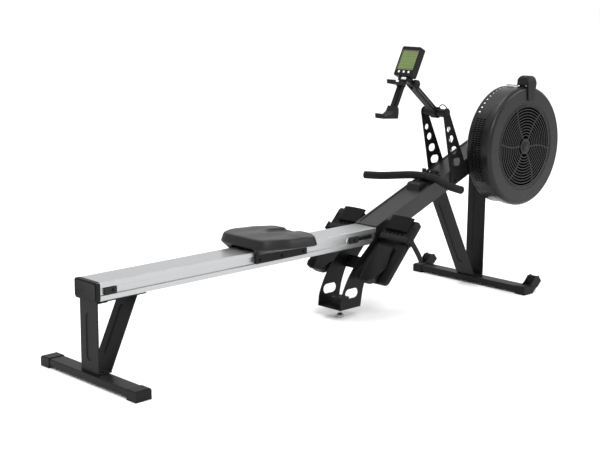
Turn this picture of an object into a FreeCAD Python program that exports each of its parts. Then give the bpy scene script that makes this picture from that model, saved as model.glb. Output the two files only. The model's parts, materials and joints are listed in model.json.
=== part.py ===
"""Air rowing machine: a sloping beam with a fan at the front, a rail with a sliding seat at the back.

Millimetres. X runs along the rail towards the fan, +Z is up, -Y is the side that carries the fan.
Lengths along X are measured from the middle of the rear base bar and the whole machine is then
shifted by its own half length, so that the origin is the middle of its footprint on the floor.
"""
import FreeCAD
import Part
import Sketcher
import math
import os

Vector = FreeCAD.Vector
doc = FreeCAD.newDocument("RowingMachine")
sheet = doc.addObject("Spreadsheet::Sheet", "Sizes")

DRIVING_SIZES = {
    # rail: a wide aluminium extrusion with one shallow groove along each side
    "rail_width": 117.0, "rail_height": 65.0, "rail_top": 357.0,
    "rail_overhang": 20.0, "rail_wall": 4.0, "groove_height": 28.0, "groove_depth": 6.0,
    "groove_lift": 18.0, "cap_wall": 4.5, "cap_grip": 10.0, "cap_front": 6.0,
    "bumper_length": 50.0, "bumper_inset": 30.0, "front_bumper_back": 104.0,
    # feet
    "bar_depth": 60.0, "bar_height": 27.0, "bar_lift": 8.0, "bar_wall": 2.0,
    "rear_bar_half": 275.0, "front_bar_half": 316.0, "foot_cap_length": 50.0, "foot_cap_wall": 2.5,
    "front_bar_place": 2067.0, "wheel_radius": 27.0, "wheel_width": 34.0, "wheel_reach": 59.5,
    "wheel_lift": 45.0, "wheel_cheek": 4.0, "wheel_bolt": 5.0,
    # pressed leg plates
    "plate_thickness": 5.0, "rear_leg_width": 98.0, "front_leg_width": 95.0, "flute_width": 32.0,
    "flute_depth": 3.2, "mount_plate_end": 190.0, "rear_column_place": -16.0, "brace_foot": 33.0,
    "brace_head": 148.0, "front_column_place": 2085.0, "front_brace_foot": 2024.0,
    "front_brace_head": 1800.0,
    # beam
    "beam_slope": 21.0, "beam_start": 1352.0, "beam_top": 362.0, "beam_depth": 73.0,
    "beam_width": 116.0, "beam_wall": 4.0, "beam_end": 45.0, "lip_width": 9.0, "lip_height": 3.0,
    # fan
    "fan_place": 2172.0, "fan_height": 628.0, "fan_radius": 262.0, "fan_inner_face": 64.0,
    "fan_outer_face": 190.0, "cover_depth": 42.0, "shell_wall": 3.0, "rim_round": 18.0,
    "grille_radius": 177.0, "grille_hub": 34.0, "grille_bar": 4.2, "grille_turn": 8.0,
    "louvre_start": 31.0, "grille_depth": 5.0,
    "axle_radius": 8.0, "bearing_radius": 17.5, "bearing_width": 11.0, "wheel_blade_reach": 225.0,
    "blade_root": 130.0, "blade_thickness": 2.0, "spool_radius": 22.5, "spool_core": 20.0,
    "spool_width": 30.0, "lever_width": 66.0, "lever_reach": 308.0, "lever_leg": 200.0,
    "lever_plate": 6.5, "lever_angle": 5.0, "lever_sweep": 55.0,
    # seat
    "seat_place": 813.0, "seat_length": 288.0, "seat_half_width": 163.0, "seat_setback": 9.0,
    "seat_top": 412.0,
    "seat_bottom": 372.0, "skirt_length": 262.0, "skirt_bottom": 312.0, "skirt_gap": 7.5,
    "skirt_wall": 4.0, "roller_radius": 15.0, "roller_width": 22.0, "roller_track": 38.0,
    "roller_spacing": 160.0, "roller_axle": 4.0, "glide_length": 24.0,
    # mid support and footrests
    "support_plate": 4.0, "support_back": 1143.0, "support_front": 1260.0, "support_floor": 46.0,
    "nut_side": 54.0, "nut_height": 33.0, "stud_radius": 5.0, "pad_radius": 17.0,
    "board_slope": 47.2, "board_place": 1232.0, "board_height": 168.0, "board_length": 300.0,
    "board_inner": 74.0, "board_outer": 222.0, "board_thickness": 14.0, "board_rib": 40.0,
    "heel_length": 205.0, "heel_drop": 20.0, "heel_base": 7.0, "heel_wall": 38.0,
    "toe_start": 239.0, "toe_length": 70.0, "toe_height": 14.0, "strap_place": 190.0,
    "strap_width": 25.0, "strap_rise": 17.0, "strap_thickness": 2.0,
    # handle
    "handle_place": 1716.0, "handle_height": 522.0, "grip_radius": 16.5, "tube_radius": 12.0,
    "tube_wall": 2.0, "handle_half": 265.0, "handle_centre": 58.0, "handle_knee": 185.0,
    "handle_sweep": 84.0, "knee_sweep": 66.0, "handle_dip": 0.2, "webbing_half": 12.5,
    "fairlead_radius": 8.0, "fairlead_place": 1768.0, "horn_height": 42.0,
    # monitor, its arm and its posts
    "post_place": 1778.0, "post_height": 790.0, "cross_radius": 17.5, "post_plate": 4.0,
    "arm_length": 211.0, "arm_lean": 51.9, "arm_width": 30.0, "arm_depth": 22.0,
    "monitor_tilt": 26.6, "monitor_width": 100.0, "monitor_face": 64.5, "monitor_depth": 29.5,
    "monitor_low": 8.0, "monitor_tall": 130.0, "screen_half": 41.0, "screen_low": 37.0,
    "screen_tall": 83.0, "neck_width": 16.0, "knob_radius": 18.0, "knob_length": 24.0,
    "key_radius": 5.0, "key_spacing": 26.0, "holder_width": 28.0,
    # clearances
    "fit_gap": 0.3, "running_gap": 0.08,
}


class Size:
    """A length that knows its value now and the expression that ties it to the sheet."""

    def __init__(self, value, text):
        self.value = value
        self.text = text

    def joined(self, other, sign, value):
        return Size(value, "(" + self.text + " " + sign + " " + as_size(other).text + ")")

    def __add__(self, other):
        return self.joined(other, "+", self.value + as_size(other).value)

    def __sub__(self, other):
        return self.joined(other, "-", self.value - as_size(other).value)

    def __mul__(self, other):
        return self.joined(other, "*", self.value * as_size(other).value)

    def __truediv__(self, other):
        return self.joined(other, "/", self.value / as_size(other).value)

    def __radd__(self, other):
        return as_size(other) + self

    def __rsub__(self, other):
        return as_size(other) - self

    def __rmul__(self, other):
        return as_size(other) * self

    def __neg__(self):
        return self * -1

    def __float__(self):
        return float(self.value)


def as_size(number):
    return number if isinstance(number, Size) else Size(float(number), repr(float(number)))


def turned(function, name, angle):
    """Sine, cosine or tangent of an angle in degrees."""
    return Size(function(math.radians(angle.value)), name + "(" + angle.text + " * 1 deg)")


def sine(angle):
    return turned(math.sin, "sin", angle)


def cosine(angle):
    return turned(math.cos, "cos", angle)


def tangent(angle):
    return turned(math.tan, "tan", angle)


def write_sheet():
    """One row a size: its name in column A, its value in column B under an alias."""
    for row, (name, number) in enumerate(DRIVING_SIZES.items(), start=1):
        sheet.set("A%d" % row, name)
        sheet.set("B%d" % row, str(number))
        sheet.setAlias("B%d" % row, name)
    doc.recompute()


class Sheet:
    """Reads a driving size from the sheet by its name."""

    def __getattr__(self, name):
        return Size(float(sheet.get(name)), "Sizes." + name)


write_sheet()
s = Sheet()
pieces = []

# places that several sub-parts share
middle = (s.fan_place + s.fan_radius - s.bar_depth / 2 - s.foot_cap_wall) / 2
rail_back = -s.rail_overhang
# the rail runs up to the beam, with a small gap between their end faces
rail_front = s.beam_start - 2
rail_bottom = s.rail_top - s.rail_height
rail_side = s.rail_width / 2
groove_bottom = rail_bottom + s.groove_lift
groove_top = groove_bottom + s.groove_height
bar_top = s.bar_lift + s.bar_height
mount_bottom = rail_bottom - s.plate_thickness
beam_side = s.beam_width / 2
beam_drop = s.beam_depth / cosine(s.beam_slope)
skirt_inside = rail_side + s.skirt_gap
skirt_outside = skirt_inside + s.skirt_wall
roller_height = s.rail_top + s.roller_radius + s.fit_gap
support_inside = rail_side + s.fit_gap
support_outside = support_inside + s.support_plate
post_inside = beam_side + s.fit_gap


def on_beam(x):
    """Height of the beam's upper edge at a place along X."""
    return s.beam_top + (x - s.beam_start) * tangent(s.beam_slope)


def under_beam(x):
    """Height of the beam's underside at a place along X."""
    return on_beam(x) - beam_drop


def place(thing, at=(0, 0, 0), turn=0, axis=Vector(0, 1, 0)):
    """Puts a sub-part at a point measured from the rear base bar, turned in degrees about an axis."""
    thing.Placement = FreeCAD.Placement(Vector(0, 0, 0), FreeCAD.Rotation(axis, 1.0))
    thing.setExpression("Placement.Rotation.Angle", "(" + as_size(turn).text + ") * 1 deg")
    for letter, length in zip("xyz", (at[0] - middle, as_size(at[1]), as_size(at[2]))):
        thing.setExpression("Placement.Base." + letter, length.text)
    return thing


def keep(thing, label):
    """Names a finished sub-part and puts it on the list that is written out."""
    thing.Label = label
    pieces.append(thing)
    return thing


def new_body(name, at=(0, 0, 0), turn=0):
    return place(doc.addObject("PartDesign::Body", name), at, turn)


def new_sketch(body, plane, lift=0):
    """Sketch on one of the body's own origin planes, lifted along that plane's normal."""
    sketch = body.newObject("Sketcher::SketchObject", body.Name + "Sketch")
    origin_plane = [item for item in body.Origin.OriginFeatures if item.Role == plane][0]
    sketch.AttachmentSupport = [(origin_plane, "")]
    sketch.MapMode = "FlatFace"
    sketch.setExpression("AttachmentOffset.Base.z", as_size(lift).text)
    return sketch


class Ties:
    """Constraints of one sketch outline, added together and then bound to their sizes."""

    def __init__(self, sketch):
        self.sketch = sketch
        self.waiting = []

    def add(self, kind, *where, size=None):
        numbers = where if size is None else where + (as_size(size).value,)
        self.waiting.append((Sketcher.Constraint(kind, *numbers), size))

    def pin(self, geometry, position, point):
        """Ties one point to a pair of sizes measured from the sketch's origin."""
        self.add("DistanceX", -1, 1, geometry, position, size=point[0])
        self.add("DistanceY", -1, 1, geometry, position, size=point[1])

    def close(self):
        first = self.sketch.ConstraintCount
        self.sketch.addConstraint([constraint for constraint, size in self.waiting])
        for number, (constraint, size) in enumerate(self.waiting):
            if size is not None:
                self.sketch.setExpression("Constraints[%d]" % (first + number), as_size(size).text)


def flat(point):
    return Vector(float(point[0]), float(point[1]), 0)


def arc_through(start, on_way, end):
    """Counter-clockwise arc on the circle of three points, and whether it runs from start to end."""
    centre = Part.Arc(start, on_way, end).toShape().Curve.Center
    forward = (on_way - start).cross(end - on_way).z > 0
    low, high = (start, end) if forward else (end, start)
    first_angle = math.atan2(low.y - centre.y, low.x - centre.x)
    last_angle = math.atan2(high.y - centre.y, high.x - centre.x)
    if last_angle <= first_angle:
        last_angle += 2 * math.pi
    circle = Part.Circle(centre, Vector(0, 0, 1), start.distanceToPoint(centre))
    return Part.ArcOfCircle(circle, first_angle, last_angle), forward


def draw_loop(sketch, points):
    """Closed outline. A point with a third entry is reached by an arc that passes that middle point."""
    first = sketch.GeometryCount
    total = len(points)
    middles = []
    ends = []
    for index, point in enumerate(points):
        follower = points[(index + 1) % total]
        if len(follower) == 3:
            arc, forward = arc_through(flat(point), flat(follower[2]), flat(follower))
            sketch.addGeometry(arc, False)
            ends.append((1, 2) if forward else (2, 1))
            middles.append((first + index, follower[2]))
        else:
            sketch.addGeometry(Part.LineSegment(flat(point), flat(follower)), False)
            ends.append((1, 2))
    ties = Ties(sketch)
    for index in range(total):
        follower = (index + 1) % total
        ties.add("Coincident", first + index, ends[index][1], first + follower, ends[follower][0])
        ties.pin(first + index, ends[index][0], points[index])
    for geometry, middle_point in middles:
        number = sketch.addGeometry(Part.Point(flat(middle_point)), True)
        ties.pin(number, 1, middle_point)
        ties.add("PointOnObject", number, 1, geometry)
    ties.close()


def draw_circle(sketch, centre, radius):
    number = sketch.addGeometry(Part.Circle(flat(centre), Vector(0, 0, 1), float(radius)), False)
    ties = Ties(sketch)
    ties.add("Radius", number, size=radius)
    ties.pin(number, 3, centre)
    ties.close()


def draw_slot(sketch, low, high, radius):
    """Slot with round ends about two centres that lie on a line along the sketch's x or y."""
    low_point = flat(low)
    high_point = flat(high)
    along = (high_point - low_point).normalize()
    side = Vector(along.y, -along.x, 0) * float(radius)
    heading = math.atan2(along.y, along.x)
    first = sketch.GeometryCount
    circle_high = Part.Circle(high_point, Vector(0, 0, 1), float(radius))
    circle_low = Part.Circle(low_point, Vector(0, 0, 1), float(radius))
    sketch.addGeometry(Part.LineSegment(low_point + side, high_point + side), False)
    sketch.addGeometry(Part.ArcOfCircle(circle_high, heading - math.pi / 2, heading + math.pi / 2), False)
    sketch.addGeometry(Part.LineSegment(high_point - side, low_point - side), False)
    sketch.addGeometry(Part.ArcOfCircle(circle_low, heading + math.pi / 2, heading + math.pi * 1.5), False)
    ties = Ties(sketch)
    for index in range(4):
        ties.add("Tangent", first + index, 2, first + (index + 1) % 4, 1)
    for index, centre in ((1, high), (3, low)):
        ties.add("Radius", first + index, size=radius)
        ties.pin(first + index, 3, centre)
    ties.close()


def pad(body, sketch, length, both_ways=False, flip=False):
    feature = body.newObject("PartDesign::Pad", body.Name + "Pad")
    feature.Profile = sketch
    feature.setExpression("Length", as_size(length).text)
    feature.SideType = "Symmetric" if both_ways else "One side"
    feature.Reversed = flip
    body.Tip = feature
    return feature


def pocket(body, sketch, length, both_ways=False, flip=False):
    doc.recompute()
    before = body.Shape.Volume
    feature = body.newObject("PartDesign::Pocket", body.Name + "Pocket")
    feature.Profile = sketch
    feature.setExpression("Length", as_size(length).text)
    feature.SideType = "Symmetric" if both_ways else "One side"
    feature.Reversed = flip
    body.Tip = feature
    doc.recompute()
    if body.Shape.Volume > before - 0.01:
        raise RuntimeError("a pocket in " + body.Name + " cuts nothing")
    return feature


def dress(body, kind, size, choose):
    """Fillet or Chamfer on the edges of the body that pass the test."""
    doc.recompute()
    tip = body.Tip
    names = ["Edge%d" % (number + 1) for number, edge in enumerate(tip.Shape.Edges) if choose(edge)]
    if not names:
        raise RuntimeError("no edge to dress on " + body.Name)
    feature = body.newObject("PartDesign::" + kind, body.Name + kind)
    feature.Base = (tip, names)
    feature.setExpression("Radius" if kind == "Fillet" else "Size", as_size(size).text)
    body.Tip = feature
    return feature


def straight_along(edge, direction):
    """True for a straight edge that runs along the direction."""
    if edge.Curve.TypeId != "Part::GeomLine":
        return False
    return abs(abs(edge.Curve.Direction.dot(direction)) - 1) < 1e-6


def cylinder(name, radius, start, length, axis="y", at=(0, 0, 0), turn=0):
    """Cylinder along an axis from a start offset, in the frame of a place."""
    body = new_body(name, at, turn)
    plane = {"x": "YZ_Plane", "y": "XZ_Plane", "z": "XY_Plane"}[axis]
    lift = -(as_size(start) + length) if axis == "y" else as_size(start)
    sketch = new_sketch(body, plane, lift)
    draw_circle(sketch, (0, 0), radius)
    pad(body, sketch, length)
    return body


def group(label, members):
    """Several solids that are written as one node."""
    compound = doc.addObject("Part::Compound", label)
    compound.Links = members
    return keep(compound, label)


def mirrored(name, source):
    """The same solid on the other side of the machine."""
    image = doc.addObject("Part::Mirroring", name)
    image.Source = source
    image.Normal = Vector(0, 1, 0)
    return image


def pair(label, source):
    return group(label, [source, mirrored(label + "Mirror", source)])


def rectangle(left, right, low, high):
    return [(left, low), (right, low), (right, high), (left, high)]


def solid_block(body, left, right, near, far, low, high):
    """Block of a body in its own frame, from its X, Y and Z limits."""
    sketch = new_sketch(body, "XY_Plane", low)
    draw_loop(sketch, rectangle(left, right, near, far))
    return pad(body, sketch, as_size(high) - low)


# ---------------------------------------------------------------- rail

def make_rail():
    """Hollow extrusion with a shallow groove along each side for the seat's glides."""
    slant = 2
    body = new_body("rail")
    sketch = new_sketch(body, "YZ_Plane", rail_back)
    groove_floor = rail_side - s.groove_depth
    side = [(rail_side, rail_bottom), (rail_side, groove_bottom), (groove_floor, groove_bottom + slant),
            (groove_floor, groove_top - slant), (rail_side, groove_top), (rail_side, s.rail_top)]
    draw_loop(sketch, side + [(-point[0], point[1]) for point in reversed(side)])
    hollow = groove_floor - s.rail_wall
    draw_loop(sketch, rectangle(-hollow, hollow, rail_bottom + s.rail_wall, s.rail_top - s.rail_wall))
    pad(body, sketch, rail_front - rail_back)
    corner = rail_side.value

    def outer_corner(edge):
        return straight_along(edge, Vector(1, 0, 0)) and abs(abs(edge.Vertexes[0].Y) - corner) < 0.01 and (
            edge.Vertexes[0].Z > groove_top.value + 1 or edge.Vertexes[0].Z < groove_bottom.value - 1)
    dress(body, "Fillet", 2.5, outer_corner)
    keep(body, "rail")


def make_rail_end_cap():
    """Moulded cap that closes the back of the rail and grips it for a short way."""
    over = s.fit_gap
    body = new_body("rail_end_cap")
    sketch = new_sketch(body, "YZ_Plane", rail_back - s.cap_front)
    outer_side = rail_side + s.cap_wall
    cap_low = rail_bottom - 2
    cap_high = s.rail_top + 2
    draw_loop(sketch, rectangle(-outer_side, outer_side, cap_low, cap_high))
    pad(body, sketch, s.cap_front + s.cap_grip)
    dress(body, "Fillet", 12, lambda edge: straight_along(edge, Vector(1, 0, 0)))
    inside = new_sketch(body, "YZ_Plane", rail_back - over)
    draw_loop(inside, rectangle(-rail_side - over, rail_side + over, rail_bottom - over, s.rail_top + over))
    pocket(body, inside, s.cap_grip + 2 * over, flip=True)
    keep(body, "rail_end_cap")


def make_rail_bumpers():
    """Rubber stops in both grooves, at the back and near the beam."""
    members = []
    inner = rail_side - s.groove_depth + s.fit_gap
    for name, start in (("back", s.bumper_inset + rail_back), ("front", rail_front - s.front_bumper_back
                                                              - s.bumper_length)):
        body = new_body("bumper_" + name)
        solid_block(body, start, start + s.bumper_length, -(rail_side + 1), -inner,
                    groove_bottom + 2, groove_top - 2)
        dress(body, "Fillet", 3, lambda edge: straight_along(edge, Vector(0, 1, 0)))
        members += [body, mirrored("bumper_" + name + "_left", body)]
    group("rail_bumpers", members)


# ---------------------------------------------------------------- legs and base bars

def leg_plate(name, foot, head, width, head_slope=0):
    """Pressed plate from a foot point to a head point (X, Z), with a flute along its middle.

    Its own z runs up the plate and its own x is the plate's thickness.
    """
    run = float(head[0]) - float(foot[0])
    rise = float(head[1]) - float(foot[1])
    foot_x = as_size(foot[0])
    foot_z = as_size(foot[1])
    run_size = as_size(head[0]) - foot_x
    rise_size = as_size(head[1]) - foot_z
    lean = Size(math.degrees(math.atan2(run, rise)),
                "(atan(" + run_size.text + " / " + rise_size.text + ") / 1 deg)")
    length = Size(math.hypot(run, rise), "sqrt(" + run_size.text + "^2 + " + rise_size.text + "^2)")
    body = new_body(name, (foot_x, 0, foot_z), lean)
    thick = s.plate_thickness
    sketch = new_sketch(body, "XZ_Plane")
    draw_loop(sketch, [(0, 0), (thick, thick * tangent(lean)),
                       (thick, length + thick * tangent(lean + head_slope)), (0, length)])
    pad(body, sketch, width, both_ways=True)
    flute_end = length * 0.16 + s.flute_width / 2
    groove = new_sketch(body, "YZ_Plane")
    draw_slot(groove, (0, flute_end), (0, length - flute_end), s.flute_width / 2)
    pocket(body, groove, s.flute_depth, flip=True)
    rim = s.flute_width.value / 2 + 0.5
    dress(body, "Chamfer", s.flute_depth - 0.4, lambda edge: max(abs(v.X) for v in edge.Vertexes) < 0.01
          and max(abs(v.Y) for v in edge.Vertexes) < rim and min(v.Z for v in edge.Vertexes) > 20
          and max(v.Z for v in edge.Vertexes) < length.value - 20)
    raised = new_sketch(body, "YZ_Plane", thick)
    draw_slot(raised, (0, flute_end), (0, length - flute_end), s.flute_width / 2 - 1.5)
    pad(body, raised, s.flute_depth)
    return body


def make_base_bar(label, centre, half_length):
    """Rectangular steel tube across the machine."""
    body = new_body(label)
    sketch = new_sketch(body, "XZ_Plane")
    half = s.bar_depth / 2
    wall = s.bar_wall
    draw_loop(sketch, rectangle(centre - half, centre + half, s.bar_lift, bar_top))
    draw_loop(sketch, rectangle(centre - half + wall, centre + half - wall, s.bar_lift + wall, bar_top - wall))
    pad(body, sketch, (half_length - s.foot_cap_wall * 2) * 2, both_ways=True)
    outer = half.value
    middle_x = float(centre)
    dress(body, "Fillet", 3, lambda edge: straight_along(edge, Vector(0, 1, 0))
          and abs(abs(edge.Vertexes[0].X - middle_x) - outer) < 0.01)
    keep(body, label)


def make_foot_cap(name, centre, half_length):
    """Rubber boot over one end of a base bar; the bar stands in its socket."""
    body = new_body(name)
    half = s.bar_depth / 2
    outer = half + s.foot_cap_wall
    inner_end = -(as_size(half_length) - s.foot_cap_length)
    solid_block(body, centre - outer, centre + outer, -as_size(half_length), inner_end,
                0, bar_top + s.foot_cap_wall)
    dress(body, "Chamfer", 7, lambda edge: straight_along(edge, Vector(1, 0, 0))
          and edge.Vertexes[0].Z > 10 and edge.Vertexes[0].Y < float(inner_end) - 1)
    dress(body, "Fillet", 4, lambda edge: straight_along(edge, Vector(0, 1, 0)) and edge.Vertexes[0].Z > 10)
    cut_socket(body, centre, half_length)
    return body


def cut_socket(body, centre, half_length):
    """Hollow of a boot that the end of its base bar sits in."""
    half = s.bar_depth / 2
    over = s.fit_gap
    socket = new_sketch(body, "XZ_Plane", as_size(half_length) - s.foot_cap_wall * 2 + over)
    draw_loop(socket, rectangle(centre - half - over, centre + half + over, s.bar_lift - over, bar_top + over))
    pocket(body, socket, s.foot_cap_length)


def make_rear_leg():
    make_base_bar("rear_base_bar", as_size(0), s.rear_bar_half)
    pair("rear_base_caps", make_foot_cap("rear_base_cap", as_size(0), s.rear_bar_half))
    plate = new_body("rear_mount_plate")
    half = s.rear_leg_width / 2
    start = rail_back + s.cap_grip + 1
    solid_block(plate, start, s.mount_plate_end, -half - 6, half + 6, mount_bottom, rail_bottom)
    dress(plate, "Fillet", 8, lambda edge: straight_along(edge, Vector(0, 0, 1)))
    keep(plate, "rear_mount_plate")
    foot = bar_top + s.plate_thickness
    head = mount_bottom - s.plate_thickness
    column = leg_plate("rear_leg_column", (s.rear_column_place, foot),
                       (s.rear_column_place, head), s.rear_leg_width)
    tall = head - foot
    solid_block(column, 0, s.brace_foot - s.rear_column_place + 6, -half, half, -s.plate_thickness, 0)
    solid_block(column, 0, 45, -half, half, tall, tall + s.plate_thickness)
    keep(column, "rear_leg_column")
    brace = leg_plate("rear_leg_brace", (s.brace_foot, foot), (s.brace_head, mount_bottom), s.rear_leg_width)
    keep(brace, "rear_leg_brace")


def make_front_leg():
    centre = s.front_bar_place
    make_base_bar("front_base_bar", centre, s.front_bar_half)
    cap = make_foot_cap("front_base_cap", centre, s.front_bar_half)
    add_wheel_fork(cap, centre)
    cut_socket(cap, centre, s.front_bar_half)
    pair("front_base_caps", cap)
    half = s.front_leg_width / 2
    foot = bar_top + s.plate_thickness
    column_place = s.front_column_place
    column = leg_plate("front_leg_column", (column_place, foot),
                       (column_place, under_beam(column_place)), s.front_leg_width, s.beam_slope)
    solid_block(column, s.front_brace_foot - column_place - 6, s.plate_thickness, -half, half,
                -s.plate_thickness, 0)
    keep(column, "front_leg_column")
    brace = leg_plate("front_leg_brace", (s.front_brace_foot, foot),
                      (s.front_brace_head, under_beam(s.front_brace_head)), s.front_leg_width, s.beam_slope)
    keep(brace, "front_leg_brace")


def wheel_centre():
    return (s.front_bar_place + s.wheel_reach, s.wheel_lift)


def wheel_middle():
    """Distance of a transport wheel's middle plane from the machine's middle."""
    return s.front_bar_half - s.wheel_cheek - s.fit_gap - s.wheel_width / 2


def add_wheel_fork(cap, centre):
    """Two cheeks on the front boot that carry a transport wheel, and the bolt between them."""
    outer = centre + s.bar_depth / 2 + s.foot_cap_wall
    wheel_x, wheel_z = wheel_centre()
    hood = s.wheel_radius + 2
    outline = [(outer - 3, 3), (wheel_x - 2, wheel_z - hood * 0.78), (wheel_x + 10, wheel_z - hood * 0.64),
               (wheel_x + hood + 3, wheel_z + 2), (wheel_x + 9, wheel_z + hood), (wheel_x - 15, wheel_z + hood - 3),
               (wheel_x - 30, wheel_z + 9), (outer - 27, bar_top + s.foot_cap_wall - 1),
               (outer - 8, bar_top + s.foot_cap_wall - 1), (outer - 8, 3)]
    inner_plane = wheel_middle() - s.wheel_width / 2 - s.fit_gap - s.wheel_cheek
    for lift in (inner_plane, s.front_bar_half - s.wheel_cheek):
        cheek = new_sketch(cap, "XZ_Plane", lift)
        draw_loop(cheek, outline)
        pad(cap, cheek, s.wheel_cheek)
    bolt = new_sketch(cap, "XZ_Plane", inner_plane)
    draw_circle(bolt, (wheel_x, wheel_z), s.wheel_bolt)
    pad(cap, bolt, s.front_bar_half - inner_plane)


def make_transport_wheels():
    wheel_x, wheel_z = wheel_centre()
    for label, side in (("transport_wheel_right", -1), ("transport_wheel_left", 1)):
        body = new_body(label, (wheel_x, wheel_middle() * side, wheel_z))
        sketch = new_sketch(body, "XZ_Plane")
        draw_circle(sketch, (0, 0), s.wheel_radius)
        draw_circle(sketch, (0, 0), s.wheel_bolt + s.running_gap)
        pad(body, sketch, s.wheel_width, both_ways=True)
        rim = s.wheel_radius.value
        dress(body, "Fillet", 3, lambda edge: edge.Curve.TypeId == "Part::GeomCircle"
              and abs(edge.Curve.Radius - rim) < 0.01)
        keep(body, label)


# ---------------------------------------------------------------- beam

def make_beam():
    """Box beam that rises from the rail to the fan, open inside for the pull strap and its spool."""
    body = new_body("main_beam", (s.beam_start, 0, s.beam_top), -s.beam_slope)
    wall = s.beam_wall
    slope = tangent(s.beam_slope)
    length = (s.fan_place - s.beam_start) / cosine(s.beam_slope) + s.beam_end
    heel = s.beam_top - rail_bottom
    # the beam's back end is cut upright behind the rail's front end
    heel_run = heel * sine(s.beam_slope)
    heel_fall = heel * cosine(s.beam_slope)
    level = (s.beam_depth - heel_fall) / slope
    outline = new_sketch(body, "XZ_Plane")
    draw_loop(outline, [(0, 0), (-heel_run, -heel_fall), (-heel_run + level, -s.beam_depth),
                        (length, -s.beam_depth), (length, 0)])
    pad(body, outline, s.beam_width, both_ways=True)
    far_end = length.value
    dress(body, "Fillet", 30, lambda edge: straight_along(edge, Vector(0, 1, 0))
          and abs(edge.Vertexes[0].X - far_end) < 0.01)
    tray = new_sketch(body, "XZ_Plane")
    draw_loop(tray, rectangle(12, length - s.beam_end * 2, -s.lip_height, 2))
    pocket(body, tray, s.beam_width - s.lip_width * 2, both_ways=True)
    hollow = new_sketch(body, "XZ_Plane")
    draw_loop(hollow, rectangle(40, length - 12, -s.beam_depth + wall, -s.lip_height - wall))
    pocket(body, hollow, s.beam_width - wall * 2, both_ways=True)
    add_beam_openings(body)
    keep(body, "main_beam")


def along_beam(x):
    """Distance along the beam's own upper edge of a point above a place on X."""
    return (as_size(x) - s.beam_start) / cosine(s.beam_slope)


def add_beam_openings(body):
    """Bores for the bearings and the slot that the pull strap comes out of."""
    bores = new_sketch(body, "XZ_Plane")
    rise = s.fan_height - on_beam(s.fan_place)
    axle = (along_beam(s.fan_place) + rise * sine(s.beam_slope), rise * cosine(s.beam_slope))
    draw_circle(bores, axle, s.bearing_radius)
    pocket(body, bores, s.beam_width + 2, both_ways=True)
    slot = new_sketch(body, "XY_Plane", 2)
    start = along_beam(s.fairlead_place)
    draw_loop(slot, rectangle(start, start + 34, -s.webbing_half - 3, s.webbing_half + 3))
    pocket(body, slot, s.lip_height + s.beam_wall + 6)


# ---------------------------------------------------------------- mid support

def make_support_bracket():
    """Folded U bracket under the joint: two curved side plates, a floor and a cross web."""
    body = new_body("support_bracket")
    back = s.support_back
    front = s.support_front
    low = s.support_floor
    outline = [(back, low), (back + 4, low + 44), (back + 97, low + 186, (back + 36, low + 113)),
               (s.beam_start - 36, rail_bottom + 4), (s.beam_start + 2, s.beam_top - 8,
                                                      (s.beam_start - 11, rail_bottom + 29)),
               (s.beam_start + 76, on_beam(s.beam_start + 76) - 14),
               (s.beam_start + 78, rail_bottom + 38), (s.beam_start + 20, rail_bottom - 20),
               (s.beam_start - 42, low + 150), (front + 6, low + 36, (front + 21, low + 94)), (front, low)]
    sketch = new_sketch(body, "XZ_Plane")
    draw_loop(sketch, outline)
    pad(body, sketch, support_outside * 2, both_ways=True)
    inside = new_sketch(body, "XZ_Plane")
    draw_loop(inside, rectangle(back - 10, s.beam_start + 100, low + s.support_plate, s.beam_top + 20))
    pocket(body, inside, support_inside * 2, both_ways=True)
    windows = new_sketch(body, "XZ_Plane")
    draw_slot(windows, (back + 47, low + 62), (back + 82, low + 62), 20)
    pocket(body, windows, support_outside * 2 + 4, both_ways=True)
    web = new_sketch(body, "XZ_Plane")
    draw_loop(web, [(s.beam_start - 60, low + 140), (s.beam_start - 55, low + 140),
                    (s.beam_start - 22, low + 182), (s.beam_start - 27, low + 182)])
    pad(body, web, support_inside * 2, both_ways=True)
    stud = new_sketch(body, "XY_Plane", low + s.support_plate)
    draw_circle(stud, ((back + front) / 2 + 5, 0), s.stud_radius + 1)
    pocket(body, stud, s.support_plate + 2)
    keep(body, "support_bracket")


def stud_place():
    return (s.support_back + s.support_front) / 2 + 5


def make_levelling_nut():
    body = new_body("levelling_nut", (stud_place(), 0, s.support_floor + s.support_plate))
    half = s.nut_side / 2
    solid_block(body, -half, half, -half, half, 0, s.nut_height)
    dress(body, "Fillet", 5, lambda edge: straight_along(edge, Vector(0, 0, 1)))
    bore = new_sketch(body, "XY_Plane")
    draw_circle(bore, (0, 0), s.stud_radius + s.running_gap)
    pocket(body, bore, s.nut_height - 3, flip=True)
    keep(body, "levelling_nut")


def make_levelling_foot():
    """Round pad on a threaded stud that turns up into the nut block."""
    body = new_body("levelling_foot", (stud_place(), 0, 0))
    base = new_sketch(body, "XZ_Plane")
    draw_loop(base, [(0, 0), (s.pad_radius, 0), (s.pad_radius, 8), (s.pad_radius - 4, 13),
                     (s.stud_radius + 3, 17), (s.stud_radius, 17), (s.stud_radius, s.support_floor + 21), (0, s.support_floor + 21)])
    spin(body, base, "Z_Axis")
    keep(body, "levelling_foot")


def spin(body, sketch, axis_role):
    """Full revolution of a half outline about one of the body's own axes."""
    feature = body.newObject("PartDesign::Revolution", body.Name + "Spin")
    feature.Profile = sketch
    axis = [item for item in body.Origin.OriginFeatures if item.Role == axis_role][0]
    feature.ReferenceAxis = (axis, [""])
    feature.Angle = 360
    body.Tip = feature
    return feature


# ---------------------------------------------------------------- footrests

def board_body(name):
    """Body in the footboard's frame: x up along the board, z out of its face towards the foot."""
    return new_body(name, (s.board_place, 0, s.board_height), -s.board_slope)


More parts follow.
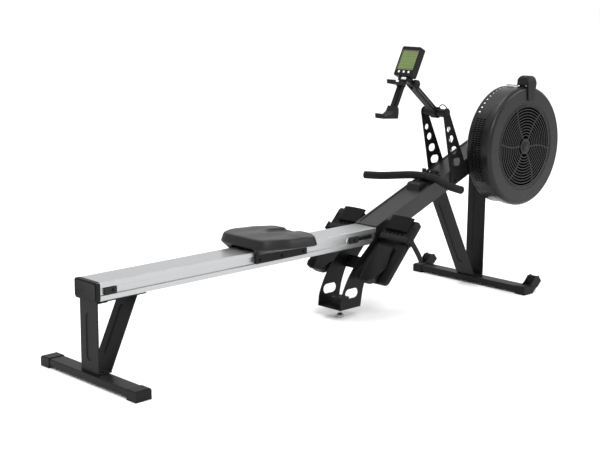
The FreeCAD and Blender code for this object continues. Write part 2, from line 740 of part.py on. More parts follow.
def make_footboard(name):
    body = board_body(name)
    chamfer = 22
    outline = [(0, -s.board_outer), (s.board_length - chamfer, -s.board_outer),
               (s.board_length, -s.board_outer + chamfer), (s.board_length + 8, -s.board_inner - 20),
               (s.board_length, -s.board_inner), (0, -s.board_inner)]
    plate = new_sketch(body, "XY_Plane", -s.board_thickness)
    draw_loop(plate, outline)
    pad(body, plate, s.board_thickness)
    rib = new_sketch(body, "XY_Plane")
    draw_loop(rib, [(0, -s.board_outer), (s.board_length - chamfer, -s.board_outer),
                    (s.board_length, -s.board_outer + chamfer), (s.board_length, -s.board_outer + s.board_rib),
                    (0, -s.board_outer + s.board_rib)])
    pad(body, rib, s.heel_base - 1)
    return body


def make_heel_cup(name):
    """Sliding heel cup: a thin sole with a curved wall round the heel."""
    body = board_body(name)
    near = -s.board_outer + s.board_rib + s.fit_gap
    far = -s.board_inner - 2
    centre = (near + far) / 2
    radius = (far - near) / 2
    start = radius - s.heel_drop
    sole = new_sketch(body, "XY_Plane", s.fit_gap)
    draw_loop(sole, [(start, far), (start, near, (-s.heel_drop, centre)), (s.heel_length - s.heel_drop, near),
                     (s.heel_length - s.heel_drop, far)])
    pad(body, sole, s.heel_base)
    wall = new_sketch(body, "XY_Plane", s.fit_gap)
    thick = 6
    draw_loop(wall, [(start, far), (start, near, (-s.heel_drop, centre)), (start, near + thick),
                     (start, far - thick, (-s.heel_drop + thick, centre))])
    pad(body, wall, s.heel_wall)
    return body


def make_toe_band(name):
    body = board_body(name)
    solid_block(body, s.toe_start, s.toe_start + s.toe_length, -s.board_outer + s.board_rib - 8,
                -s.board_inner - 2, s.heel_base - 1, s.toe_height + s.heel_base - 1)
    dress(body, "Fillet", 5, lambda edge: edge.Vertexes[0].Z > s.heel_base.value + 1)
    return body


def make_foot_strap(name):
    """Webbing arch over the foot; its ends stand on the board's edges."""
    body = board_body(name)
    near = -s.board_outer + 6
    far = -s.board_inner + s.strap_thickness + s.fit_gap
    low = s.heel_base - 1 + s.fit_gap
    hem = -s.board_thickness + 2
    top = low + s.strap_rise
    thick = s.strap_thickness
    sketch = new_sketch(body, "YZ_Plane", s.strap_place)
    draw_loop(sketch, [(near, low), (near + thick, low), (near + 14 + thick, top - thick),
                       (far - 12 - thick, top - thick), (far - thick, low), (far - thick, hem),
                       (far, hem), (far, low + thick), (far - 12, top), (near + 14, top), (near, low + thick)])
    pad(body, sketch, s.strap_width)
    return body


def make_buckle(name):
    """Cam buckle on the strap's outer end."""
    body = board_body(name)
    solid_block(body, s.strap_place - 4, s.strap_place + s.strap_width + 4, -s.board_outer - 9,
                -s.board_outer - s.fit_gap, -8, s.heel_base + 8)
    dress(body, "Fillet", 2.5, lambda edge: straight_along(edge, Vector(1, 0, 0)))
    return body


def make_footrest_bracket(name):
    """Folded steel carrier: a flange on the support's side plate and a leaf under the board."""
    body = board_body(name)
    inner = -support_outside
    thick = s.support_plate
    under = -s.board_thickness
    solid_block(body, 70, 230, inner - 120, inner, under - thick, under)
    dress(body, "Fillet", 6, lambda edge: straight_along(edge, Vector(0, 0, 1)))
    solid_block(body, 90, 210, inner - thick, inner, under - 60, under - thick)
    return body


def make_footrests():
    right = keep(make_footboard("footboard_right"), "footboard_right")
    keep(mirrored("footboard_left", right), "footboard_left")
    cup = keep(make_heel_cup("heel_cup_right"), "heel_cup_right")
    keep(mirrored("heel_cup_left", cup), "heel_cup_left")
    pair("toe_bands", make_toe_band("toe_band"))
    pair("foot_straps", make_foot_strap("foot_strap"))
    pair("strap_buckles", make_buckle("strap_buckle"))
    pair("footrest_brackets", make_footrest_bracket("footrest_bracket"))


# ---------------------------------------------------------------- seat

def make_seat():
    centre = s.seat_place
    half = s.seat_length / 2
    side = s.seat_half_width
    body = new_body("seat_pad", (centre - s.seat_setback, 0, s.seat_bottom))
    sketch = new_sketch(body, "XY_Plane")
    draw_loop(sketch, [(-half, -side + 40), (-half + 36, -side), (half - 34, -side), (half, -side + 34),
                       (half, side - 34), (half - 34, side), (-half + 36, side), (-half, side - 40)])
    pad(body, sketch, s.seat_top - s.seat_bottom)
    dress(body, "Fillet", 12, lambda edge: edge.Vertexes[0].Z > 1 and edge.Vertexes[-1].Z > 1)
    hollow = new_sketch(body, "XY_Plane")
    inner = skirt_outside + s.fit_gap
    bay = carriage_half() + s.fit_gap
    draw_loop(hollow, rectangle(s.seat_setback - bay, s.seat_setback + bay, -inner, inner))
    pocket(body, hollow, carriage_top() - s.seat_bottom + s.fit_gap, flip=True)
    keep(body, "seat_pad")


def carriage_top():
    """Upper face of the carriage's top plate, above the rollers."""
    return roller_height + s.roller_radius + 3 + s.skirt_wall


def carriage_half():
    """Half length of the carriage's raised part, which sits inside the pad."""
    return s.skirt_length / 2 - 16


def make_seat_carriage():
    """Steel saddle over the rail: a top plate, two skirts and the glides that run in the grooves."""
    body = new_body("seat_carriage", (s.seat_place, 0, 0))
    upper = carriage_half()
    lower = s.skirt_length / 2
    top = carriage_top()
    outline = [(-lower, s.skirt_bottom), (lower, s.skirt_bottom), (lower, s.seat_bottom - 1),
               (upper, s.seat_bottom - 1), (upper, top), (-upper, top), (-upper, s.seat_bottom - 1),
               (-lower, s.seat_bottom - 1)]
    shell = new_sketch(body, "XZ_Plane")
    draw_loop(shell, outline)
    pad(body, shell, skirt_outside * 2, both_ways=True)
    inside = new_sketch(body, "XZ_Plane")
    draw_loop(inside, rectangle(-lower - 5, lower + 5, s.skirt_bottom - 5, top - s.skirt_wall))
    pocket(body, inside, skirt_inside * 2, both_ways=True)
    holes = new_sketch(body, "XZ_Plane")
    for side in (-1, 1):
        draw_circle(holes, (s.roller_spacing / 2 * side, roller_height), s.roller_axle + s.running_gap)
    pocket(body, holes, skirt_outside * 2 + 2, both_ways=True)
    inner = rail_side - s.groove_depth + s.fit_gap
    for start in (-lower + 6, -s.glide_length / 2, lower - 6 - s.glide_length):
        for near, far in ((-skirt_inside, -inner), (inner, skirt_inside)):
            solid_block(body, start, start + s.glide_length, near, far, groove_bottom + 2.3, groove_top - 2.3)
    keep(body, "seat_carriage")
    make_carriage_screws(lower)


def make_carriage_screws(lower):
    members = []
    height = (groove_bottom + groove_top) / 2
    for number, x in enumerate((-lower + 18, as_size(0), lower - 18)):
        screw = cylinder("carriage_screw_%d" % number, 6, -skirt_outside - 3, 3,
                         at=(s.seat_place + x, 0, height))
        members += [screw, mirrored("carriage_screw_left_%d" % number, screw)]
    group("carriage_screws", members)


def make_seat_rollers():
    """Two wheels on each axle run on the rail's top; the axle turns in the skirts."""
    for label, side in (("seat_rollers_rear", -1), ("seat_rollers_front", 1)):
        spot = (s.seat_place + s.roller_spacing / 2 * side, 0, roller_height)
        body = new_body(label, spot)
        sketch = new_sketch(body, "XZ_Plane")
        draw_circle(sketch, (0, 0), s.roller_axle)
        pad(body, sketch, (skirt_outside - 0.5) * 2, both_ways=True)
        for start in (s.roller_track - s.roller_width / 2, -s.roller_track - s.roller_width / 2):
            tyre = new_sketch(body, "XZ_Plane", start)
            draw_circle(tyre, (0, 0), s.roller_radius)
            pad(body, tyre, s.roller_width)
        keep(body, label)


# ---------------------------------------------------------------- handle and pull strap

def rounded_path(points, radius_share=0.45, radii=None):
    """Straight runs joined by tangent arcs, each as large as its two runs allow."""
    edges = []
    start = points[0]
    for before, corner, after in zip(points, points[1:], points[2:]):
        back = before - corner
        ahead = after - corner
        room = radius_share * min(back.Length, ahead.Length)
        back.normalize()
        ahead.normalize()
        entry = corner + back * room
        leave = corner + ahead * room
        half_turn = (math.pi - back.getAngle(ahead)) / 2
        radius = room / math.tan(half_turn)
        if radii is not None:
            radii.append(round(radius, 1))
        inward = (back + ahead).normalize()
        centre = corner + inward * math.hypot(radius, room)
        edges.append(Part.LineSegment(start, entry).toShape())
        edges.append(Part.Arc(entry, centre - inward * radius, leave).toShape())
        start = leave
    edges.append(Part.LineSegment(start, points[-1]).toShape())
    return Part.Wire(edges)


def tube_along(points, radius, radius_share=0.45, radii=None):
    """Round bar along a path of runs and arcs."""
    path = rounded_path(points, radius_share, radii)
    section = Part.Wire([Part.makeCircle(radius, points[0], points[1] - points[0])])
    return path.makePipeShell([section], True, False)


def shaped(label, shape):
    """Sub-part whose outline is made directly and then put in the machine's frame."""
    feature = doc.addObject("Part::Feature", label)
    feature.Shape = shape
    place(feature)
    return keep(feature, label)


def handle_points(reach):
    """Middle line of the handle: straight in the middle, swept back and dipped towards its ends."""
    x = float(s.handle_place)
    z = float(s.handle_height)
    dip = float(s.handle_dip)
    half = [(0.0, float(s.handle_centre)), (float(s.knee_sweep), float(s.handle_knee)),
            (float(s.handle_sweep), float(reach))]
    side = [Vector(x - back, -out, z - back * dip) for back, out in half]
    other = [Vector(point.x, -point.y, point.z) for point in side]
    return list(reversed(side)) + other


def make_handle():
    end_wall = 4.0
    inner_reach = s.handle_half - end_wall
    # the middle stays straight for longer than the clip is wide
    bend = 0.35
    bar = tube_along(handle_points(inner_reach), float(s.tube_radius), bend)
    bore = tube_along(handle_points(inner_reach), float(s.tube_radius - s.tube_wall), bend)
    shaped("handle_bar", bar.cut(bore))
    sleeve = tube_along(handle_points(s.handle_half), float(s.grip_radius), bend)
    shaped("handle_grip", sleeve.cut(bar))
    make_handle_clip()
    strap = new_body("pull_strap", (0, 0, s.handle_height))
    start = s.handle_place + s.grip_radius + 8 + s.fit_gap
    solid_block(strap, start, s.fairlead_place - 4, -s.webbing_half, s.webbing_half, -0.6, 0.6)
    keep(strap, "pull_strap")


def make_handle_clip():
    """Clamp round the middle of the grip, with an ear that the webbing is sewn to."""
    body = new_body("handle_clip", (s.handle_place, 0, s.handle_height))
    ring = new_sketch(body, "XZ_Plane")
    draw_circle(ring, (0, 0), s.grip_radius + 1.5)
    pad(body, ring, s.webbing_half * 2, both_ways=True)
    ear = new_sketch(body, "XZ_Plane")
    draw_loop(ear, rectangle(0, s.grip_radius + 8, -3, 3))
    pad(body, ear, s.webbing_half * 2, both_ways=True)
    bore = new_sketch(body, "XZ_Plane")
    draw_circle(bore, (0, 0), s.grip_radius + s.running_gap)
    pocket(body, bore, s.webbing_half * 2 + 2, both_ways=True)
    keep(body, "handle_clip")


def make_handle_rest():
    """Moulded cradle on the beam: a block in front of the handle, two horns and the fairlead behind it."""
    body = new_body("handle_rest")
    front = s.handle_place - 76
    back = s.fairlead_place + 14
    skin = -s.lip_height
    saddle = s.handle_place - s.grip_radius
    block_top = s.handle_height - s.grip_radius - 3
    outline = [(front, on_beam(front) + skin), (front + 4, block_top - 6), (front + 14, block_top),
               (saddle - 8, block_top), (saddle - 2, on_beam(saddle - 2) + 0.4),
               (back, on_beam(back) + 0.4), (back, on_beam(back) + skin)]
    block = new_sketch(body, "XZ_Plane")
    draw_loop(block, outline)
    pad(body, block, 66, both_ways=True)
    horn_start = s.handle_place + s.grip_radius + 3
    top = on_beam(horn_start) + s.horn_height
    sections = [(horn_start, on_beam(horn_start) - 1), (horn_start, top - 6),
                (horn_start + 12, top - 6, (horn_start + 6, top)),
                (horn_start + 12, on_beam(horn_start + 12) + 2)]
    for lift in (s.webbing_half + 3, -s.webbing_half - 17):
        horn = new_sketch(body, "XZ_Plane", lift)
        draw_loop(horn, sections)
        pad(body, horn, 14)
    gap = new_sketch(body, "XZ_Plane")
    draw_loop(gap, rectangle(horn_start + 13, back + 4, on_beam(horn_start) - 8, s.handle_height + 40))
    pocket(body, gap, s.webbing_half * 2 + 6, both_ways=True)
    for lift in (s.webbing_half + 3, -s.webbing_half - 9):
        cheek = new_sketch(body, "XZ_Plane", lift)
        draw_loop(cheek, [(s.fairlead_place - 14, on_beam(s.fairlead_place - 14)),
                          (s.fairlead_place + 12, on_beam(s.fairlead_place + 12)),
                          (s.fairlead_place + 10, s.handle_height + 22),
                          (s.fairlead_place - 10, s.handle_height + 22)])
        pad(body, cheek, 6)
    pin = new_sketch(body, "XZ_Plane")
    draw_circle(pin, (s.fairlead_place, fairlead_height()), 3)
    pad(body, pin, (s.webbing_half + 5) * 2, both_ways=True)
    keep(body, "handle_rest")


def fairlead_height():
    return s.handle_height + s.fairlead_radius + 1.2


def make_fairlead_roller():
    body = new_body("fairlead_roller", (s.fairlead_place, 0, fairlead_height()))
    sketch = new_sketch(body, "XZ_Plane")
    draw_circle(sketch, (0, 0), s.fairlead_radius)
    draw_circle(sketch, (0, 0), 3 + s.running_gap)
    pad(body, sketch, (s.webbing_half + 2.5) * 2, both_ways=True)
    keep(body, "fairlead_roller")


# ---------------------------------------------------------------- fan

def fan_body(name, turn=0):
    """Body whose origin is the fan's axis at the machine's middle plane."""
    return new_body(name, (s.fan_place, 0, s.fan_height), turn)


def ring(name, profile):
    """Ring about the fan's axis from a half outline of (distance from axis, distance out to -Y)."""
    body = fan_body(name)
    sketch = new_sketch(body, "XY_Plane")
    draw_loop(sketch, [(point[0], -as_size(point[1])) + tuple(
        (middle_point[0], -as_size(middle_point[1])) for middle_point in point[2:]) for point in profile])
    spin(body, sketch, "Y_Axis")
    return body


def make_fan_housing():
    """Drum in three shells: a flat back, a louvred band and a front cover with a rounded rim."""
    wall = s.shell_wall
    outer = s.fan_radius
    inner_face = s.fan_inner_face
    outer_face = s.fan_outer_face
    seam = outer_face - s.cover_depth
    band_outer = outer - 4
    keep(ring("fan_back_shell", [
        (45, beam_side), (62, beam_side), (62, inner_face), (band_outer - 6, inner_face),
        (band_outer, inner_face + 6), (band_outer, inner_face + 16), (band_outer - wall, inner_face + 16),
        (band_outer - wall, inner_face + 8), (band_outer - 8, inner_face + wall), (45, inner_face + wall)]),
        "fan_back_shell")
    band = ring("fan_louvre_band", [
        (band_outer - wall * 2, inner_face + 16.3), (band_outer - 1, inner_face + 16.3),
        (band_outer - 1, seam - 6), (band_outer - 6, seam - 2), (band_outer - 6, seam - 0.3),
        (band_outer - wall * 2 - 3, seam - 0.3), (band_outer - wall * 2 - 3, inner_face + 22)])
    cut_louvres(band, band_outer, inner_face + 24, seam - 10)
    keep(band, "fan_louvre_band")
    bend = s.rim_round
    corner = 0.2929
    cover = ring("fan_front_cover", [
        (s.grille_radius, outer_face - wall * 2), (s.grille_radius, outer_face - 3),
        (s.grille_radius + 14, outer_face - 3), (s.grille_radius + 17, outer_face),
        (outer - bend, outer_face),
        (outer, outer_face - bend, (outer - bend * corner, outer_face - bend * corner)), (outer, seam),
        (band_outer - wall * 2 - 3, seam), (band_outer - wall * 2 - 3, seam + wall),
        (outer - wall, seam + wall), (outer - wall, outer_face - bend),
        (outer - bend, outer_face - wall, (outer - bend * corner - wall * 0.8,
                                           outer_face - bend * corner - wall * 0.8)),
        (s.grille_radius + 22, outer_face - wall * 2)])
    keep(cover, "fan_front_cover")


def cut_louvres(band, outer, near, far):
    """Rows of narrow slots along the axis, in the back quarter of the band."""
    rows = 3
    rise = s.louvre_start
    row_length = (far - near - 8) / rows
    slot_height = 5
    for row in range(rows):
        start = near + (row_length + 4) * row
        sketch = new_sketch(band, "XZ_Plane", start)
        reach = ((outer - 20, 0), (outer + 5, 0), (outer + 5, slot_height), (outer - 20, slot_height))
        draw_loop(sketch, [(-along * cosine(rise) - up * sine(rise), along * sine(rise) - up * cosine(rise))
                           for along, up in reach])
        cut = pocket(band, sketch, row_length, flip=True)
        fan_out = band.newObject("PartDesign::PolarPattern", band.Name + "Louvres")
        fan_out.Originals = [cut]
        axis = [item for item in band.Origin.OriginFeatures if item.Role == "Y_Axis"][0]
        fan_out.Axis = (axis, [""])
        fan_out.Angle = 63
        fan_out.Occurrences = 30
        fan_out.Reversed = True
        band.Tip = fan_out
        doc.recompute()


def make_grille():
    """Concentric rings on curved spokes round a plain hub."""
    spokes = 6
    rings = 11
    back = float(s.fan_outer_face - s.shell_wall * 2)
    deep = float(s.grille_depth)
    bar = float(s.grille_bar)
    outer = float(s.grille_radius - s.fit_gap)
    hub = float(s.grille_hub)
    axis = Vector(0, -1, 0)

    def disc(radius, start, depth):
        return Part.makeCylinder(radius, depth, Vector(0, -start, 0), axis)
    shapes = [disc(hub, back, deep + 2)]
    step = (outer - bar - hub) / rings
    for number in range(1, rings + 1):
        radius = hub + step * number
        shapes.append(disc(radius + bar, back, deep).cut(disc(radius, back - 1, deep + 2)))
    for number in range(spokes):
        turn = 360.0 / spokes * number
        start = Vector(hub - 2, -back, 0)
        end = Vector(outer - 1, -back, 0)
        bow = Vector((hub + outer) / 2, -back, 11)
        path = Part.Wire([Part.Arc(start, bow, end).toShape()])
        section = Part.makePolygon([start + Vector(0, 0, -2.5), start + Vector(0, 0, 2.5),
                                    start + Vector(0, -deep, 2.5), start + Vector(0, -deep, -2.5),
                                    start + Vector(0, 0, -2.5)])
        spoke = path.makePipeShell([section], True, False)
        spoke.rotate(Vector(0, 0, 0), Vector(0, 1, 0), turn)
        shapes.append(spoke)
    whole = shapes[0].fuse(shapes[1:]).removeSplitter()
    feature = doc.addObject("Part::Feature", "fan_grille")
    feature.Shape = whole
    place(feature, (s.fan_place, 0, s.fan_height), s.grille_turn)
    keep(feature, "fan_grille")


def make_fan_wheel():
    """Flywheel disc, hub and straight blades that the spool drives."""
    body = fan_body("fan_wheel")
    back = s.fan_inner_face + 16
    front = s.fan_outer_face - 28
    plate = new_sketch(body, "XZ_Plane", back)
    draw_circle(plate, (0, 0), s.wheel_blade_reach)
    draw_circle(plate, (0, 0), s.axle_radius)
    pad(body, plate, 4)
    hub = new_sketch(body, "XZ_Plane", back)
    draw_circle(hub, (0, 0), 38)
    draw_circle(hub, (0, 0), s.axle_radius)
    pad(body, hub, front - back)
    blade = new_sketch(body, "XZ_Plane", back)
    draw_loop(blade, rectangle(s.blade_root, s.wheel_blade_reach - 2, 0, s.blade_thickness))
    first = pad(body, blade, front - back)
    doc.recompute()
    around = body.newObject("PartDesign::PolarPattern", "fan_wheel_blades")
    around.Originals = [first]
    axis = [item for item in body.Origin.OriginFeatures if item.Role == "Y_Axis"][0]
    around.Axis = (axis, [""])
    around.Angle = 360
    around.Occurrences = 24
    body.Tip = around
    keep(body, "fan_wheel")


def make_fan_drive():
    """Axle through the beam, its bearings and the spool that the pull strap winds on."""
    spot = (s.fan_place, 0, s.fan_height)
    start = -(s.fan_outer_face - 22)
    length = s.fan_outer_face - 22 + beam_side + 6
    axle = cylinder("fan_axle", s.axle_radius, start, length, at=spot)
    keep(axle, "fan_axle")
    bearing = new_body("bearing", spot)
    sketch = new_sketch(bearing, "XZ_Plane", beam_side - s.bearing_width)
    draw_circle(sketch, (0, 0), s.bearing_radius)
    draw_circle(sketch, (0, 0), s.axle_radius + s.running_gap)
    pad(bearing, sketch, s.bearing_width)
    pair("axle_bearings", bearing)
    spool = new_body("strap_spool", spot)
    half = s.spool_width / 2
    core = new_sketch(spool, "XZ_Plane", -half)
    draw_circle(core, (0, 0), s.spool_core)
    draw_circle(core, (0, 0), s.axle_radius + s.running_gap)
    pad(spool, core, s.spool_width)
    for lift in (-half - 2, half):
        flange = new_sketch(spool, "XZ_Plane", lift)
        draw_circle(flange, (0, 0), s.spool_radius)
        draw_circle(flange, (0, 0), s.axle_radius + s.running_gap)
        pad(spool, flange, 2)
    keep(spool, "strap_spool")


def make_damper_lever():
    """Lever on the front cover with a grip over the rim and a pointer across the dial."""
    body = fan_body("damper_lever", s.lever_angle)
    half = s.lever_width / 2
    face = s.fan_outer_face + 0.5
    rim = s.fan_radius + 1.5
    leg = new_sketch(body, "XZ_Plane", face)
    draw_loop(leg, [(-half, s.lever_leg), (half, s.lever_leg), (half, s.lever_reach - 14),
                    (half - 14, s.lever_reach), (-half + 10, s.lever_reach), (-half, s.lever_reach - 10)])
    pad(body, leg, s.lever_plate)
    grip = new_sketch(body, "XZ_Plane", s.fan_outer_face - 52)
    draw_loop(grip, [(-half, rim), (half, rim), (half, s.lever_reach - 14), (half - 14, s.lever_reach),
                     (-half + 10, s.lever_reach), (-half, s.lever_reach - 10)])
    pad(body, grip, 52.5)
    pointer = new_sketch(body, "XZ_Plane", s.fan_inner_face + 20)
    draw_loop(pointer, rectangle(-half, -half + 9, rim - 2, rim + 1))
    pad(body, pointer, s.fan_outer_face - 50 - s.fan_inner_face - 20)
    hook = new_sketch(body, "XZ_Plane", s.fan_outer_face - s.cover_depth - 5.2)
    draw_loop(hook, rectangle(-half + 14, half - 14, s.fan_radius - 3.5, rim + 1))
    pad(body, hook, 4.7)
    keep(body, "damper_lever")


# ---------------------------------------------------------------- monitor

def make_monitor_posts():
    """Two tapering plates on the beam's sides, lightened with four holes each."""
    body = new_body("monitor_post")
    x = s.post_place
    z = s.post_height
    sketch = new_sketch(body, "XZ_Plane", post_inside)
    draw_loop(sketch, [(x + 44, under_beam(x + 44) + 4), (x + 160, under_beam(x + 160) + 4),
                       (x + 152, on_beam(x + 152) - 50), (x + 21, z - 4), (x - 20, z - 8, (x + 2, z + 22)),
                       (x + 20, z - 178), (x + 38, z - 258)])
    pad(body, sketch, s.post_plate)
    holes = new_sketch(body, "XZ_Plane", post_inside - 2)
    draw_circle(holes, (x, z), s.cross_radius)
    draw_circle(holes, (x + 17, z - 68), 12.5)
    draw_circle(holes, (x + 36, z - 111), 15.5)
    draw_slot(holes, (x + 51, z - 161), (x + 61, z - 161), 16.5)
    draw_slot(holes, (x + 67, z - 213), (x + 87, z - 213), 17)
    pocket(body, holes, s.post_plate + 4, flip=True)
    pair("monitor_posts", body)


def make_cross_tube():
    """Tube between the heads of the posts that the monitor's arm turns on."""
    body = new_body("post_cross_tube", (s.post_place, 0, s.post_height))
    sketch = new_sketch(body, "XZ_Plane")
    draw_circle(sketch, (0, 0), s.cross_radius)
    pad(body, sketch, (post_inside + s.post_plate + 4) * 2, both_ways=True)
    dress(body, "Fillet", 4, lambda edge: edge.Curve.TypeId == "Part::GeomCircle")
    keep(body, "post_cross_tube")


def make_monitor_arm():
    """Straight arm with a collar on the cross tube and a fork at its top."""
    body = new_body("monitor_arm", (s.post_place, 0, s.post_height), -s.arm_lean)
    half = s.arm_width / 2
    thick = s.arm_depth / 2
    collar = s.cross_radius + 6
    sketch = new_sketch(body, "XZ_Plane")
    draw_circle(sketch, (0, 0), collar)
    pad(body, sketch, s.arm_width, both_ways=True)
    stem = new_sketch(body, "XZ_Plane")
    draw_loop(stem, [(-thick, 0), (thick, 0), (thick, s.arm_length),
                     (-thick, s.arm_length, (0, s.arm_length + thick))])
    pad(body, stem, s.arm_width, both_ways=True)
    bore = new_sketch(body, "XZ_Plane")
    draw_circle(bore, (0, 0), s.cross_radius + s.running_gap)
    pocket(body, bore, s.arm_width + 2, both_ways=True)
    fork = new_sketch(body, "XZ_Plane")
    draw_loop(fork, rectangle(-thick - 5, thick + 5, s.arm_length - 22, s.arm_length + 30))
    pocket(body, fork, s.neck_width + s.fit_gap * 2, both_ways=True)
    for lift in (half - 5, -half - 1):
        groove = new_sketch(body, "XZ_Plane", lift)
        draw_loop(groove, rectangle(-3, 3, collar + 8, s.arm_length - 30))
        if lift.value > 0:
            pocket(body, groove, 6, flip=True)
        else:
            pocket(body, groove, 6, flip=True)
    keep(body, "monitor_arm")


def arm_head():
    """Pivot between the arm and the monitor, as (X, Z)."""
    return (s.post_place - s.arm_length * sine(s.arm_lean), s.post_height + s.arm_length * cosine(s.arm_lean))


def monitor_body(name):
    """Body in the monitor's frame: its origin is the tilt pivot, z runs up the screen."""
    head_x, head_z = arm_head()
    return new_body(name, (head_x, 0, head_z), s.monitor_tilt)


def make_tilt_knob():
    """Clamp knob and its bolt; the bolt is the monitor's tilt pivot."""
    head_x, head_z = arm_head()
    body = new_body("tilt_knob", (head_x, 0, head_z))
    start = s.arm_width / 2 + s.fit_gap
    knob = new_sketch(body, "XZ_Plane", start)
    draw_circle(knob, (0, 0), s.knob_radius)
    pad(body, knob, s.knob_length)
    dress(body, "Fillet", 4, lambda edge: edge.Curve.TypeId == "Part::GeomCircle"
          and edge.Vertexes[0].Y < -float(start) - 5)
    bolt = new_sketch(body, "XZ_Plane", -s.arm_width / 2)
    draw_circle(bolt, (0, 0), 4)
    pad(body, bolt, s.arm_width + s.fit_gap)
    keep(body, "tilt_knob")
    arm = [piece for piece in pieces if piece.Label == "monitor_arm"][0]
    hole = new_sketch(arm, "XZ_Plane")
    draw_circle(hole, (0, s.arm_length), 4 + s.running_gap)
    pocket(arm, hole, s.arm_width + 2, both_ways=True)


def make_monitor():
    body = monitor_body("monitor_case")
    half = s.monitor_width / 2
    face = -s.monitor_face
    back = face + s.monitor_depth
    low = s.monitor_low
    high = low + s.monitor_tall
    case = new_sketch(body, "YZ_Plane", face)
    draw_loop(case, rectangle(-half, half, low, high))
    pad(body, case, s.monitor_depth)
    dress(body, "Fillet", 7, lambda edge: straight_along(edge, Vector(1, 0, 0)))
    window = new_sketch(body, "YZ_Plane", face)
    draw_loop(window, rectangle(-s.screen_half, s.screen_half, s.screen_low, s.screen_low + s.screen_tall))
    pocket(body, window, 5, flip=True)
    keys = new_sketch(body, "YZ_Plane", face)
    for number in (-1, 0, 1):
        draw_circle(keys, (s.key_spacing * number, low + 17.5), s.key_radius + 0.3)
    pocket(body, keys, 6, flip=True)
    neck = new_sketch(body, "XZ_Plane")
    draw_loop(neck, [(back - 12, low + 6), (-5, -9), (5, 9, (10.1, -2)), (back, low + 34),
                     (back - 12, low + 34)])
    pad(body, neck, s.neck_width, both_ways=True)
    hole = new_sketch(body, "XZ_Plane")
    draw_circle(hole, (0, 0), 4 + s.running_gap)
    pocket(body, hole, s.neck_width + 2, both_ways=True)
    chin = new_sketch(body, "XY_Plane", -10)
    draw_loop(chin, rectangle(face + 4, -s.knob_radius - 2, -22, 22))
    pad(body, chin, low + 11)
    key_bay = new_sketch(body, "YZ_Plane", face + 4)
    draw_loop(key_bay, rectangle(-20.3, 4.3, -6.3, 3.3))
    pocket(body, key_bay, 5, flip=True)
    keep(body, "monitor_case")
    screen = monitor_body("monitor_screen")
    solid_block(screen, face + 2, face + 4.7, -s.screen_half + s.fit_gap, s.screen_half - s.fit_gap,
                s.screen_low + s.fit_gap, s.screen_low + s.screen_tall - s.fit_gap)
    keep(screen, "monitor_screen")
    make_monitor_keys(face, low)


def make_monitor_keys(face, low):
    for number in (-1, 0, 1):
        key = monitor_body("monitor_key_%d" % (number + 2))
        sketch = new_sketch(key, "YZ_Plane", face - 1.5)
        draw_circle(sketch, (s.key_spacing * number, low + 17.5), s.key_radius)
        pad(key, sketch, 5.5)
        keep(key, "monitor_key_%d" % (number + 2))
    bar = monitor_body("monitor_key_bar")
    solid_block(bar, face + 2.5, face + 6.5, -20, 4, -6, 3)
    keep(bar, "monitor_key_bar")


def make_phone_holder():
    """Clamp for a phone below the monitor: fixed upper jaw and stem, sprung lower jaw."""
    half = s.holder_width / 2
    body = monitor_body("phone_holder")
    solid_block(body, -60, -44, -half, half, -124, -10.3)
    upper = new_sketch(body, "XZ_Plane")
    draw_loop(upper, [(-50, -18), (-64, -20), (-112, -40), (-118, -32), (-123, -36), (-114, -49),
                      (-62, -34), (-50, -36)])
    pad(body, upper, s.holder_width + 16, both_ways=True)
    keep(body, "phone_holder")
    jaw = monitor_body("phone_jaw")
    solid_block(jaw, -64.3, -60.3, -half + 4, half - 4, -140, -70)
    foot = new_sketch(jaw, "XZ_Plane")
    draw_loop(foot, [(-64.3, -126), (-66, -150), (-80, -172), (-110, -189), (-118, -182), (-122, -186),
                     (-111, -201), (-30, -167), (-38, -142), (-48, -126)])
    pad(jaw, foot, s.holder_width + 18, both_ways=True)
    keep(jaw, "phone_jaw")


def make_monitor_cable():
    """Sensor lead from the cross tube down the inside of the right post into the beam."""
    radius = 2.0
    x = float(s.post_place)
    z = float(s.post_height)
    inside = -float(post_inside) + 6
    foot_x = x + 76
    foot_z = float(on_beam(foot_x))
    points = [Vector(x - 4, -22, z + 17.5), Vector(x - 6, -27, z + 34), Vector(x + 4, inside + 8, z + 36),
              Vector(x + 19.5, inside, z + 12), Vector(x + 26, inside, z - 46),
              Vector(x + 34, inside, z - 100), Vector(x + 50, inside, z - 152),
              Vector(x + 60, inside, z - 200), Vector(foot_x, inside, foot_z)]
    radii = []
    cable = tube_along(points, radius, radii=radii)
    print("monitor_cable diameter %.1f, arc radii %s" % (radius * 2, radii))
    shaped("monitor_cable", cable)


# ---------------------------------------------------------------- fasteners

